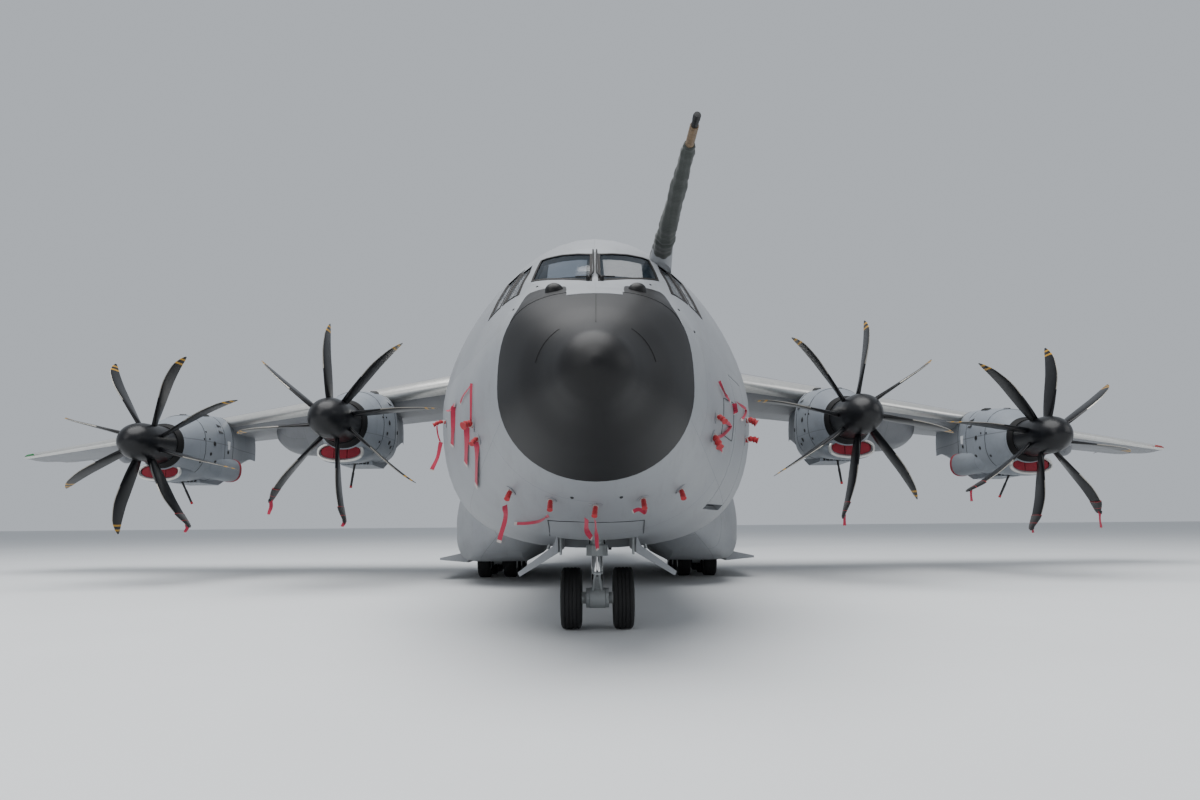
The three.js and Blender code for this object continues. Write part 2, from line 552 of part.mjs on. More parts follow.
const MAIN_RADIUS = 0.545;
const NOSE_RADIUS = 0.47;
const TYRE_FACETS = 22;
const MAIN_AXLES = [17.65, 19.2, 20.75]; // y of each axle
const MAIN_X = 3.09;
const NOSE_Y = 5.1;
const AXLE = 0.09;
const BORE = roundAbout(AXLE + SEAT, 12);

// Two wheels and the axle they share, turning about x.
function wheelPair(x, y, radius, middle, width) {
  const [inner, outer] = [middle - width / 2, middle + width / 2];
  const tread = roundAbout(radius, TYRE_FACETS);
  const half = [
    [AXLE, inner], [0.88 * tread, inner], [tread, inner + 0.1], [tread, outer - 0.1], [0.88 * tread, outer],
    [0, outer - 0.05],
  ];
  const whole = [...half.map(([r, d]) => [r, -d]).reverse(), ...half];
  const profile = whole.map(([r, d]) => new THREE.Vector2(r, d));
  const geometry = new THREE.LatheGeometry(profile, TYRE_FACETS);
  geometry.rotateY(Math.PI / TYRE_FACETS).rotateZ(Math.PI / 2);
  return solid(geometry.translate(x, y, radius));
}

// Each main leg: a bracket under the bay's roof, an arm that trails back to the axle and a damper above it.
function mainLegs() {
  const across = [BAY_IN + SEAT, BAY_OUT - SEAT];
  const rail = box(across, [BAY_FRONT + 0.3, BAY_REAR - 0.3], [BAY_TOP - 0.14, BAY_TOP - SEAT]);
  const legs = MAIN_AXLES.map((y) => {
    const bearing = bar([MAIN_X - 0.13, y, MAIN_RADIUS], [MAIN_X + 0.13, y, MAIN_RADIUS], 0.16, 0.16, 10);
    const arm = prism("x", [[y - 0.7, 0.93], [y, 0.44], [y + 0.04, 0.62], [y - 0.6, 1.08]],
      [MAIN_X - 0.09, MAIN_X + 0.09]);
    const pivot = bar([MAIN_X - 0.15, y - 0.66, 1.0], [MAIN_X + 0.15, y - 0.66, 1.0], 0.12, 0.12, 8);
    const bracket = prism("x", [[y - 0.76, 1.0], [y - 0.56, 1.0], [y - 0.44, 1.7], [y - 0.88, 1.7]],
      [MAIN_X - 0.1, MAIN_X + 0.1]);
    const damper = bar([MAIN_X, y - 0.1, 0.66], [MAIN_X, y - 0.24, 1.7], 0.06, 0.09, 8);
    const axleHole = bar([0, y, MAIN_RADIUS], [5, y, MAIN_RADIUS], BORE);
    return cut(join(bearing, arm, pivot, bracket, damper), axleHole);
  });
  return join(rail, ...legs);
}

const PISTON = 0.085;
const noseWheels = wheelPair(0, NOSE_Y, NOSE_RADIUS, 0.405, 0.33);
const noseBore = bar([-1, NOSE_Y, NOSE_RADIUS], [1, NOSE_Y, NOSE_RADIUS], BORE);
const noseFork = cut(
  join(
    bar([-0.18, NOSE_Y, NOSE_RADIUS], [0.18, NOSE_Y, NOSE_RADIUS], 0.15),
    bar([0, NOSE_Y, NOSE_RADIUS], [0, NOSE_Y, 1.4], PISTON),
    prism("x", [[NOSE_Y, 0.56], [NOSE_Y - 0.24, 0.8], [NOSE_Y - 0.2, 0.84], [NOSE_Y, 0.7]], [-0.06, 0.06]),
  ),
  noseBore,
);
const pistonHole = roundAbout(PISTON + SEAT, 12);
const noseLeg = cut(
  join(
    bar([0, NOSE_Y, 1.12], [0, NOSE_Y, 2.6 - SEAT], 0.13),
    bar([0, NOSE_Y, 1.12], [0, NOSE_Y, 1.28], 0.17),
    box([-0.5, 0.5], [NOSE_Y - 0.14, NOSE_Y + 0.14], [2.32, 2.6 - SEAT]),
    bar([0, NOSE_Y, 1.6], [0, NOSE_Y - 0.85, 2.55], 0.06, 0.06, 8),
    box([-0.3, 0.3], [NOSE_Y - 0.95, NOSE_Y - 0.75], [2.46, 2.6 - SEAT]),
  ),
  bar([0, NOSE_Y, 1.0], [0, NOSE_Y, 1.4 + SEAT], pistonHole),
);
const belly = fuselageLoft(FORWARD_STATIONS, -2 * SEAT);
// Each nose door hangs open from the belly beside the bay.
const NOSE_DOOR = [[0.575, 1.46], [0.64, 1.3], [1.15, 0.93], [1.12, 0.87], [0.565, 1.2]];
const noseDoor = prism("y", NOSE_DOOR, [4.0, 6.3]).subtract(belly);
const MAIN_DOOR = [[3.86, 0.82], [4.72, 0.64], [4.72, 0.58], [3.86, 0.5]];
const sponsonGrown = loft(SPONSON.map(([y, outer, bottom, top]) =>
  sponsonRing([y, outer + SEAT, bottom - SEAT, top])));
const mainDoor = biggest(prism("y", MAIN_DOOR, [16.6, 21.9]).subtract(sponsonGrown));

// Engines

// Columns: name, x, y and z of the propeller's middle, first blade's turn from upright in degrees, its hand.
const ENGINES = [
  ["inner_left", 6.863, 13.237, 4.369, 9.7, 1],
  ["outer_left", 12.818, 15.179, 4.001, 10.1, -1],
  ["inner_right", -6.863, 13.237, 4.369, -6.9, 1],
  ["outer_right", -12.818, 15.179, 4.001, 16.9, -1],
];
// Columns: aft of the propeller, half width, top above and bottom below the propeller's middle.
const NACELLE = [
  [0.36, 0.56, 0.56, 0.56], [0.8, 0.74, 0.78, 0.8], [1.5, 0.86, 1.04, 0.9], [2.6, 0.88, 1.19, 0.93],
  [3.6, 0.7, 1.25, 0.88], [4.6, 0.46, 1.2, 0.5], [5.8, 0.32, 1.1, 0.0], [6.6, 0.16, 1.0, -0.3],
];
// Columns: aft, middle outboard of the propeller's, middle above it, half width, half height.
const CHIN = [
  [0.72, 0.13, -0.76, 0.6, 0.25], [0.86, 0.13, -0.76, 0.66, 0.29],
  [1.5, 0.13, -0.66, 0.7, 0.36], [2.5, 0.1, -0.5, 0.68, 0.42],
];
const CHIN_DUCT = [[0.6, 0.13, -0.76, 0.55, 0.2], [1.7, 0.12, -0.62, 0.5, 0.22]];
// The exhaust bulge on the side that faces the other engine.
const EXHAUST = [
  [1.5, 0.4, -0.4, 0.2, 0.2], [2.3, 0.56, -0.49, 0.35, 0.37], [3.5, 0.68, -0.55, 0.36, 0.37],
];
const EXHAUST_HOLE = [[2.9, 0.64, -0.52, 0.28, 0.29], [3.7, 0.7, -0.56, 0.31, 0.32]];
// A ring that is between an ellipse and a rounded box; 2 gives the ellipse.
function roundRing(x, y, z, half, up, down, fullness, sides) {
  return Array.from({ length: sides }, (_, i) => {
    const a = (2 * Math.PI * i) / sides;
    const [s, c] = [Math.sin(a), Math.cos(a)].map((v) => Math.sign(v) * Math.abs(v) ** (2 / fullness));
    return [x + half * s, y, z + (c > 0 ? up : down) * c];
  });
}
const nacelleRing = ([aft, half, up, down], [x, y, z], inset = 0) =>
  roundRing(x, y + aft, z, half - inset, up - inset, down - inset, 2 + Math.min(0.6, aft / 4), 14);
const DUCT_SIDES = 10;
const ducting = (rows, [x, y, z], side) => loft(rows.map(([aft, out, rise, half, high]) =>
  roundRing(x + side * out, y + aft, z + rise, half, high, high, 2.4, DUCT_SIDES)));
const SHAFT = 0.16;
const nacelleInside = (at, inset) => loft(NACELLE.slice(1, 5).map((row) => nacelleRing(row, at, inset)));
function nacelle(x, y, z, exhaustSide) {
  const at = [x, y, z];
  const cooler = prism("x", [[y + 2.1, z - 0.8], [y + 2.3, z - 1.0], [y + 3.5, z - 1.03], [y + 4.1, z - 0.8]],
    [x - 0.32, x + 0.6]);
  const outside = join(
    loft(NACELLE.map((row) => nacelleRing(row, at))),
    ducting(CHIN, at, 1),
    ducting(EXHAUST, at, exhaustSide),
    cooler,
  );
  return biggest(cut(
    outside,
    nacelleInside(at, 0.1),
    ducting(CHIN_DUCT, at, 1),
    ducting(EXHAUST_HOLE, at, exhaustSide),
    bar([x, y + 0.2, z], [x, y + 1, z], roundAbout(SHAFT + SEAT, 12)),
    wingGrown(SEAT),
  ));
}
const engineBlock = (x, y, z) =>
  box([x - 0.42, x + 0.42], [y + 1.9, y + 3.9], [z - 0.95, z + 0.45])
    .intersect(nacelleInside([x, y, z], 0.1 + SEAT));

const BLADES = 8;
// Columns: radius, then how far aft of the blades' middle, of the spinner and the shaft behind it.
const SPINNER = [
  [0, -1.35], [0.2, -1.29], [0.37, -1.12], [0.48, -0.9], [0.53, -0.6], [0.545, 0.33],
  [SHAFT, 0.33], [SHAFT, 0.7], [0, 0.7],
];
// Columns: radius, chord, thickness, sweep of the middle back along the shaft, twist from edge-on in degrees.
const BLADE = [
  [0.35, 0.26, 0.14, -0.3, 12], [1.0, 0.5, 0.09, -0.36, 7], [1.7, 0.6, 0.06, -0.4, 3],
  [2.25, 0.5, 0.04, -0.28, 0], [2.55, 0.28, 0.025, -0.09, -2], [2.68, 0.08, 0.015, 0.03, -3],
];
// A blade that stands upright at the middle; the chord lies nearly fore and aft, as on a feathered propeller.
function blade(hand) {
  const outline = [[-0.5, 0], [-0.1, 0.5], [0.5, 0], [-0.1, -0.5]];
  return loft(BLADE.map(([r, chord, thickness, sweep, twist]) => {
    const a = hand * THREE.MathUtils.degToRad(twist);
    return outline.map(([c, t]) => {
      const [aft, across] = [c * chord + sweep, t * thickness];
      return [across * Math.cos(a) + aft * Math.sin(a), aft * Math.cos(a) - across * Math.sin(a), r];
    });
  }));
}
function propeller(x, y, z, phase, hand) {
  const spinner = solid(new THREE.LatheGeometry(SPINNER.map(([r, aft]) => new THREE.Vector2(r, aft)), 18));
  const one = blade(hand);
  const blades = Array.from({ length: BLADES }, (_, i) => one.rotate([0, phase + (360 / BLADES) * i, 0]));
  return join(spinner, ...blades).translate([x, y, z]);
}

// Other pieces

// The refuelling probe's middle line and radius, from its foot in the skin to its tip.
const PROBE = [
  [0.985, 4.1, 5.5, 0.13], [1.016, 4.0, 5.701, 0.16], [1.04, 3.61, 5.777, 0.15],
  [1.063, 3.225, 5.854, 0.133], [1.11, 2.45, 6.006, 0.115], [1.158, 1.675, 6.158, 0.092],
  [1.181, 1.288, 6.234, 0.06], [1.205, 0.9, 6.31, 0.05],
];
// A loft along the middle line; each ring stands square to the way from its neighbours.
const probeAxis = PROBE.map((row) => new THREE.Vector3(row[0], row[1], row[2]));
const probe = loft(PROBE.map(([, , , radius], i) => {
  const ahead = probeAxis[Math.min(i + 1, PROBE.length - 1)];
  const along = ahead.clone().sub(probeAxis[Math.max(i - 1, 0)]).normalize();
  const turn = new THREE.Quaternion().setFromUnitVectors(new THREE.Vector3(0, 0, 1), along);
  return Array.from({ length: 10 }, (_, k) => {
    const a = (2 * Math.PI * k) / 10;
    const spoke = new THREE.Vector3(radius * Math.cos(a), radius * Math.sin(a), 0).applyQuaternion(turn);
    return spoke.add(probeAxis[i]).toArray();
  });
})).subtract(fuselageLoft(FORWARD_STATIONS, -2 * SEAT));

// Colours and the exported group

const FINISH = {
  grey: [0x8b8f94, 0.55, 0.1],
  pale: [0xb9bcbf, 0.5, 0.1],
  dark: [0x1d1c1c, 0.5, 0.0],
  blade: [0x23262b, 0.4, 0.2],
  glass: [0x9db4c4, 0.1, 0.0],
  rubber: [0x1b1b1c, 0.85, 0.0],
  white: [0xd9dad8, 0.4, 0.3],
  steel: [0x6d7074, 0.4, 0.7],
  inside: [0x9a9d98, 0.7, 0.0],
};
const group = new THREE.Group();
group.name = "military_transport_plane";
const size = 1000 * MODEL_SCALE;
const SMALLEST_EDGE = 0.0004;
function piece(name, body, finish) {
  const mesh = body.simplify(SMALLEST_EDGE).getMesh();
  const points = new Float32Array(mesh.numVert * 3);
  for (let i = 0; i < mesh.numVert; i++) {
    const [x, y, z] = [0, 1, 2].map((k) => mesh.vertProperties[i * mesh.numProp + k]);
    points.set([x * size, (y - LENGTH / 2) * size, z * size], i * 3);
  }
  const geometry = new THREE.BufferGeometry();
  geometry.setAttribute("position", new THREE.BufferAttribute(points, 3));
  geometry.setIndex(Array.from(mesh.triVerts));
  const [color, roughness, metalness] = FINISH[finish];
  const made = new THREE.Mesh(geometry, new THREE.MeshStandardMaterial({ color, roughness, metalness }));
  made.name = name;
  group.add(made);
}
const pair = (name, left, finish) => {
  piece(`${name}_left`, left, finish);
  piece(`${name}_right`, mirrored(left), finish);
};

piece("radome", radome, "dark");
piece("forward_fuselage", forward, "grey");
piece("centre_fuselage", centreWithBays, "grey");
piece("rear_fuselage", rear, "grey");
piece("crew_door", crewDoor, "grey");
piece("ramp", ramp, "grey");
piece("cargo_door", cargoDoor, "grey");
piece("wing_fairing", wingFairing, "grey");
pair("windscreen", windscreen, "glass");
SIDE_PANES.forEach(([name], i) => pair(name, sidePanes[i], "glass"));
piece("flight_deck", flightDeck, "inside");
piece("cargo_floor", cargoFloor, "inside");
piece("refuelling_probe", probe, "steel");
pair("wing", wingWithFairings, "grey");
for (const [name, surface] of trailing) pair(name, surface, "grey");
piece("fin", fin, "grey");
piece("rudder", rudder, "grey");
piece("tailplane", tailplane, "grey");
pair("elevator", elevator, "grey");
pair("sponson", sponson, "grey");
pair("main_gear_legs", mainLegs(), "white");
MAIN_AXLES.forEach((y, i) => {
  pair(`main_wheels_${i + 1}`, wheelPair(MAIN_X, y, MAIN_RADIUS, 0.4, 0.4), "rubber");
});
piece("nose_wheels", noseWheels, "rubber");
piece("nose_fork", noseFork, "white");
piece("nose_leg", noseLeg, "white");
pair("nose_gear_door", noseDoor, "grey");
pair("main_gear_door", mainDoor, "grey");
for (const [name, x, y, z, phase, hand] of ENGINES) {
  const onItsSide = (part) => (x < 0 ? mirrored(part) : part);
  const exhaustSide = name.startsWith("inner") ? 1 : -1;
  piece(`nacelle_${name}`, onItsSide(nacelle(Math.abs(x), y, z, exhaustSide)), "grey");
  piece(`engine_${name}`, onItsSide(engineBlock(Math.abs(x), y, z)), "steel");
  piece(`propeller_${name}`, propeller(x, y, z, phase, hand), "blade");
}

export default group;
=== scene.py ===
"""Looks of a four-propeller military transport plane, as a half-size model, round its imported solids.

Sizes in this file are the full-size aircraft's, in metres, as in the part's own source: x to port, y aft from
the nose tip, z up from the ground. row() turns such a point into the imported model's frame.
"""

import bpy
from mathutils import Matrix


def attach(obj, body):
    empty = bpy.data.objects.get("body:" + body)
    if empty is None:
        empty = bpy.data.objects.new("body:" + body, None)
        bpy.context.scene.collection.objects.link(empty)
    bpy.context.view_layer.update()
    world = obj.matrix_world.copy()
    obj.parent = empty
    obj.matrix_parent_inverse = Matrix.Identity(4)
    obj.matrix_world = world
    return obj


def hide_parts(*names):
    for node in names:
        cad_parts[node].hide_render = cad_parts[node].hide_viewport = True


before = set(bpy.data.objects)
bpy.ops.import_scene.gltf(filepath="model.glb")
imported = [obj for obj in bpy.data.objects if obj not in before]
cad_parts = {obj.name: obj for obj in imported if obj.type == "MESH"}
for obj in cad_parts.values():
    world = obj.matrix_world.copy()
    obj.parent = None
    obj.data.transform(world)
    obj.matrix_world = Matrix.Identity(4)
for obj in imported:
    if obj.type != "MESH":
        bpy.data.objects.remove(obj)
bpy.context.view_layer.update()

import math
import random

import bmesh
import bpy
from mathutils import Matrix, Vector

bl_info = {
    "name": "Military transport plane looks",
    "version": (1, 0, 0),
    "blender": (4, 5, 0),
    "location": "3D View > Sidebar > Plane",
    "description": "Skins, glazing, propellers, gear, covers and studio stage for the packed transport plane",
    "category": "Object",
}

SCALE = 0.5  # the model is half the size of the aircraft
LENGTH = 45.1
HALF_SPAN = 21.2
AIRFRAME = "airframe"
SIDES = (("left", 1), ("right", -1))
PLAY = 0.014  # clearance round a piece that moves
WALL = 0.16  # skin, frame and lining of the fuselage together
END_GAP = 0.001  # between a skin's end and the next one's
LEAST_RADIUS = 1e-4  # a turned form's points are rings of this size

# Columns: station y, top, bottom and widest height, half width, then how full the curve is at the crown,
# at the side above the widest point and at the bilge.
FUSELAGE = [
    (0.0, 3.24, 3.16, 3.2, 0.04, 0.55, 0.55, 0.55),
    (0.06, 3.39, 3.01, 3.2, 0.19, 0.55, 0.55, 0.55),
    (0.2, 3.55, 2.85, 3.2, 0.35, 0.55, 0.55, 0.55),
    (0.4, 3.66, 2.73, 3.2, 0.47, 0.55, 0.55, 0.55),
    (0.62, 3.79, 2.61, 3.2, 0.6, 0.58, 0.58, 0.55),
    (1.0, 4.06, 2.38, 3.2, 0.87, 0.68, 0.62, 0.56),
    (1.6, 4.41, 2.1, 3.21, 1.175, 0.86, 0.66, 0.58),
    (2.3, 4.76, 1.83, 3.22, 1.47, 0.84, 0.46, 0.58),
    (3.1, 5.37, 1.58, 3.24, 1.78, 0.74, 0.26, 0.6),
    (4.0, 5.9, 1.38, 3.28, 2.1, 0.7, 0.15, 0.66),
    (5.2, 6.38, 1.24, 3.4, 2.46, 0.66, 0.2, 0.72),
    (6.5, 6.7, 1.2, 3.6, 2.74, 0.6, 0.36, 0.74),
    (8.4, 6.87, 1.2, 4.0, 2.82, 0.55, 0.55, 0.7),
    (16.0, 6.87, 1.2, 4.03, 2.82, 0.55, 0.55, 0.7),
    (24.3, 6.87, 1.2, 4.03, 2.82, 0.55, 0.55, 0.75),
    (27.0, 6.87, 1.72, 4.2, 2.74, 0.55, 0.55, 0.8),
    (30.0, 6.86, 2.52, 4.5, 2.56, 0.55, 0.55, 0.8),
    (33.0, 6.82, 3.4, 4.9, 2.18, 0.55, 0.55, 0.75),
    (36.2, 6.74, 4.3, 5.4, 1.62, 0.55, 0.55, 0.68),
    (39.0, 6.62, 5.05, 5.8, 0.95, 0.55, 0.55, 0.6),
    (41.2, 6.46, 5.62, 6.05, 0.4, 0.55, 0.55, 0.55),
    (42.0, 6.34, 5.86, 6.1, 0.16, 0.55, 0.55, 0.55),
]
RADOME_END, NOSE_END, HOLD_END, TAIL_END = 1.6, 8.4, 24.3, 42.0
RING_QUARTER = 16  # points on each quarter of a section


# Shapes: plain lists of points and faces, in full-size metres


class Shape:
    """Points, faces and the material number of each face."""

    def __init__(self, points=(), faces=(), finishes=None):
        self.points = [tuple(p) for p in points]
        self.faces = [tuple(f) for f in faces]
        self.finishes = list(finishes) if finishes is not None else [0] * len(self.faces)

    def __add__(self, other):
        offset = len(self.points)
        faces = self.faces + [tuple(i + offset for i in face) for face in other.faces]
        return Shape(self.points + other.points, faces, self.finishes + other.finishes)

    def moved(self, matrix):
        return Shape([matrix @ Vector(p) for p in self.points], self.faces, self.finishes)

    def shifted(self, x=0.0, y=0.0, z=0.0):
        return self.moved(Matrix.Translation((x, y, z)))

    def mirrored(self):
        points = [(-x, y, z) for x, y, z in self.points]
        return Shape(points, [face[::-1] for face in self.faces], self.finishes)

    def painted(self, finish):
        return Shape(self.points, self.faces, [finish] * len(self.faces))

    def on_side(self, sign):
        return self if sign > 0 else self.mirrored()


def joined(shapes):
    """Several shapes as one."""
    total = Shape()
    for shape in shapes:
        total += shape
    return total


def steps(start, end, count):
    """Evenly spaced values from start to end, both included."""
    return [start + (end - start) * i / (count - 1) for i in range(count)]


def turns(sides):
    """The angles of a ring's points, evenly spaced."""
    return [2 * math.pi * k / sides for k in range(sides)]


def row_at(table, place):
    """A table's row at any place along its first column, on a smooth curve through its rows."""
    last = len(table) - 1
    i = next((k for k, row in enumerate(table) if row[0] >= place), last)
    i = min(max(i, 1), last)
    a, b = table[i - 1], table[i]
    step = b[0] - a[0]
    t = (place - a[0]) / step

    def gentle(p, q):
        return 0.0 if p * q <= 0 else 2 * p * q / (p + q)

    row = [place]
    for k in range(1, len(a)):
        slope = (b[k] - a[k]) / step
        before = (a[k] - table[i - 2][k]) / (a[0] - table[i - 2][0]) if i > 1 else slope
        after = (table[i + 1][k] - b[k]) / (table[i + 1][0] - b[0]) if i < last else slope
        m0, m1 = gentle(before, slope) * step, gentle(slope, after) * step
        t2, t3 = t * t, t * t * t
        near = (2 * t3 - 3 * t2 + 1) * a[k] + (t3 - 2 * t2 + t) * m0
        row.append(near + (3 * t2 - 2 * t3) * b[k] + (t3 - t2) * m1)
    return row


def curve_through(points, between=4):
    """Points on a smooth curve through the given ones, with so many steps between each two."""
    points = [Vector(p) for p in points]
    path = []
    for i in range(len(points) - 1):
        before = points[i - 1] if i else 2 * points[0] - points[1]
        a, b = points[i], points[i + 1]
        after = points[i + 2] if i + 2 < len(points) else 2 * b - a
        for k in range(between):
            t = k / between
            square = (2 * before - 5 * a + 4 * b - after) * t * t
            cube = (3 * a - before - 3 * b + after) * t**3
            path.append(0.5 * (2 * a + (b - before) * t + square + cube))
    return path + [points[-1]]


def loft(rings, ends="capped", finishes=None):
    """A skin through rings of points. Its ends are capped, or it is ringed: the last ring joins the first."""
    count = len(rings[0])
    faces, numbers = [], []
    for r in range(len(rings) - (ends == "capped")):
        low, high = r * count, (r + 1) % len(rings) * count
        for i in range(count):
            j = (i + 1) % count
            faces.append((low + i, low + j, high + j, high + i))
            numbers.append(finishes(r, i) if finishes else 0)
    if ends == "capped":
        end = (len(rings) - 1) * count
        faces += [tuple(range(count))[::-1], tuple(range(end, end + count))]
        numbers += [finishes(0, 0) if finishes else 0, finishes(len(rings) - 2, 0) if finishes else 0]
    return Shape([p for ring in rings for p in ring], faces, numbers)


def block(x, y, z):
    """A box between two values on each axis."""
    points = [(a, b, c) for c in z for b in y for a in x]
    faces = [(0, 2, 3, 1), (4, 5, 7, 6), (0, 1, 5, 4), (2, 6, 7, 3), (0, 4, 6, 2), (1, 3, 7, 5)]
    return Shape(points, faces)


def prism(axis, outline, low, high):
    """An outline of (u, v) points pushed out along one axis; the other two axes, in order, carry u and v."""
    places = {
        "x": lambda u, v, w: (w, u, v),
        "y": lambda u, v, w: (u, w, v),
        "z": lambda u, v, w: (u, v, w),
    }
    return loft([[places[axis](u, v, w) for u, v in outline] for w in (low, high)])


def arch(corners, y, middle=0.0, wide=1.0, foot=0.0, tall=1.0):
    """A ring at a station: a smooth curve through one side's (across, up) corners, and its mirror image."""
    side = curve_through([(u, 0, v) for u, v in corners], 4)
    ring = [(middle + p.x * wide, y, foot + p.z * tall) for p in side]
    return ring + [(middle - p.x * wide, y, foot + p.z * tall) for p in side[:-1][::-1]]


def frame_along(start, end):
    """A matrix whose z axis runs from start to end, with its origin at start."""
    along = (Vector(end) - Vector(start)).normalized()
    return Matrix.Translation(start) @ along.to_track_quat("Z", "Y").to_matrix().to_4x4()


def turned(profile, sides, start=(0, 0, 0), end=(0, 0, 1)):
    """A turned form: (radius, distance) pairs, spun about the line from start towards end."""
    rings = []
    for radius, distance in profile:
        radius = max(radius, LEAST_RADIUS)
        rings.append([(radius * math.cos(a), radius * math.sin(a), distance) for a in turns(sides)])
    return loft(rings).moved(frame_along(start, end))


def rod(start, end, radius, end_radius=None, sides=24, chamfer=0.12):
    """A round rod with chamfered ends."""
    length = (Vector(end) - Vector(start)).length
    end_radius = radius if end_radius is None else end_radius
    lip = min(chamfer * radius, length / 4)
    profile = [(radius - lip, 0), (radius, lip), (end_radius, length - lip), (end_radius - lip, length)]
    return turned(profile, sides, start, end)


def tube_along(path, radius, sides=12):
    """A round tube along points, with flat ends; radius is a number or one for each point."""
    path = [Vector(p) for p in path]
    radii = [radius] * len(path) if isinstance(radius, (int, float)) else radius
    rings = []
    side = None
    for i, point in enumerate(path):
        along = (path[min(i + 1, len(path) - 1)] - path[max(i - 1, 0)]).normalized()
        if side is None:
            side = along.orthogonal().normalized()
        side = (side - along * side.dot(along)).normalized()
        other = along.cross(side)
        rings.append([point + radii[i] * (math.cos(a) * side + math.sin(a) * other) for a in turns(sides)])
    return loft(rings)


def grown(outline, by):
    """A flat outline with every side moved out by a distance."""
    area = sum(a[0] * b[1] - b[0] * a[1] for a, b in zip(outline, outline[1:] + outline[:1]))
    turn = 1 if area > 0 else -1
    lines = []
    for a, b in zip(outline, outline[1:] + outline[:1]):
        along = Vector((b[0] - a[0], b[1] - a[1])).normalized()
        out = Vector((along.y, -along.x)) * turn
        lines.append((Vector(a) + out * by, along))
    points = []
    for (p, u), (q, v) in zip(lines[-1:] + lines[:-1], lines):
        t = ((q - p).x * v.y - (q - p).y * v.x) / (u.x * v.y - u.y * v.x)
        points.append(tuple(p + u * t))
    return points


def strip(path, normals, width, thick):
    """A flat strip along points; it lies square to the normals and its middle is on the points."""
    path = [Vector(p) for p in path]
    rings = []
    for i, point in enumerate(path):
        along = (path[min(i + 1, len(path) - 1)] - path[max(i - 1, 0)]).normalized()
        normal = Vector(normals[i])
        side = along.cross(normal).normalized() * (width / 2)
        up = side.cross(along).normalized() * (thick / 2)
        rings.append([point + side + up, point + side - up, point - side - up, point - side + up])
    return loft(rings)


def disc(middle, normal, radius, thick):
    """A flat round plate whose lower face is a little under the surface that it lies on."""
    normal = Vector(normal).normalized()
    start = Vector(middle) - normal * 0.01
    return rod(start, Vector(middle) + normal * thick, radius, sides=28, chamfer=0.08)


# Blender objects from shapes


def row(x, y, z):
    """A full-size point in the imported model's frame."""
    return (x * SCALE, (y - LENGTH / 2) * SCALE, z * SCALE)


def mesh_from(shape, name):
    mesh = bpy.data.meshes.new(name)
    mesh.from_pydata([row(*p) for p in shape.points], [], shape.faces)
    mesh.validate()
    mesh.polygons.foreach_set("material_index", shape.finishes[: len(mesh.polygons)])
    return mesh


def outward(mesh):
    """Turns every face of a closed mesh outward."""
    work = bmesh.new()
    work.from_mesh(mesh)
    bmesh.ops.recalc_face_normals(work, faces=work.faces)
    work.to_mesh(mesh)
    work.free()


def carved(shape, tool, operation="DIFFERENCE"):
    """The shape with another taken out of it, added to it or kept within it."""
    pair = []
    for part in (shape, tool):
        mesh = mesh_from(part, "carving")
        outward(mesh)
        thing = bpy.data.objects.new("carving", mesh)
        bpy.context.scene.collection.objects.link(thing)
        pair.append(thing)
    target, cutter = pair
    modifier = target.modifiers.new("carving", "BOOLEAN")
    modifier.operation, modifier.solver, modifier.object = operation, "EXACT", cutter
    bpy.context.view_layer.update()
    result = target.evaluated_get(bpy.context.evaluated_depsgraph_get()).to_mesh()
    points = [(v.co.x / SCALE, v.co.y / SCALE + LENGTH / 2, v.co.z / SCALE) for v in result.vertices]
    faces = [tuple(p.vertices) for p in result.polygons]
    numbers = [p.material_index for p in result.polygons]
    for thing in pair:
        mesh = thing.data
        bpy.data.objects.remove(thing)
        bpy.data.meshes.remove(mesh)
    if not faces:
        raise RuntimeError("A cut left nothing of the shape")
    return Shape(points, faces, numbers)


def piece(name, shape, materials, body=AIRFRAME, replaces=(), crease=32.0, bevel=0.0):
    """Makes one visible piece of the plane: its mesh, finish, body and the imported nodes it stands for."""
    mesh = mesh_from(shape, name)
    outward(mesh)
    mesh.shade_smooth()
    mesh.set_sharp_from_angle(angle=math.radians(crease))
    for material in materials if isinstance(materials, (list, tuple)) else [materials]:
        mesh.materials.append(material)
    thing = bpy.data.objects.new(name, mesh)
    bpy.context.scene.collection.objects.link(thing)
    if bevel:
        modifier = thing.modifiers.new("rounded edges", "BEVEL")
        modifier.width, modifier.segments, modifier.limit_method = bevel * SCALE, 2, "ANGLE"
        modifier.angle_limit = math.radians(40)
        modifier.use_clamp_overlap = True
    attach(thing, body)
    if replaces:
        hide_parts(*replaces)
    return thing


def both_sides(name, shape, materials, body="", stands_for=""):
    """A left piece and its mirror image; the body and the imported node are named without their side."""
    for side, sign in SIDES:
        rides_on = f"{body}_{side}" if body else AIRFRAME
        solids = [f"{stands_for}_{side}"] if stands_for else []
        piece(f"{name}_{side}", shape.on_side(sign), materials, rides_on, solids)


# Materials


def linear(hex_colour):
    """An sRGB hex colour as linear RGBA."""
    values = [int(hex_colour[i : i + 2], 16) / 255 for i in (1, 3, 5)]
    return tuple(v / 12.92 if v <= 0.04045 else ((v + 0.055) / 1.055) ** 2.4 for v in values) + (1.0,)


def node(tree, kind, links=(), **settings):
    """Adds a node with its settings; links are (input name or number, value or output socket) pairs."""
    made = tree.nodes.new(kind)
    for name, value in settings.items():
        setattr(made, name, value)
    for socket, value in links:
        if isinstance(value, bpy.types.NodeSocket):
            tree.links.new(value, made.inputs[socket])
        else:
            made.inputs[socket].default_value = value
    return made


def finish(name, **shader):
    """A new material; the words are values for its shader's own sockets, with _ for a blank in a name."""
    material = bpy.data.materials.new(name)
    material.use_nodes = True
    principled = material.node_tree.nodes["Principled BSDF"]
    for socket, value in shader.items():
        principled.inputs[socket.replace("_", " ")].default_value = value
    return material, material.node_tree, principled


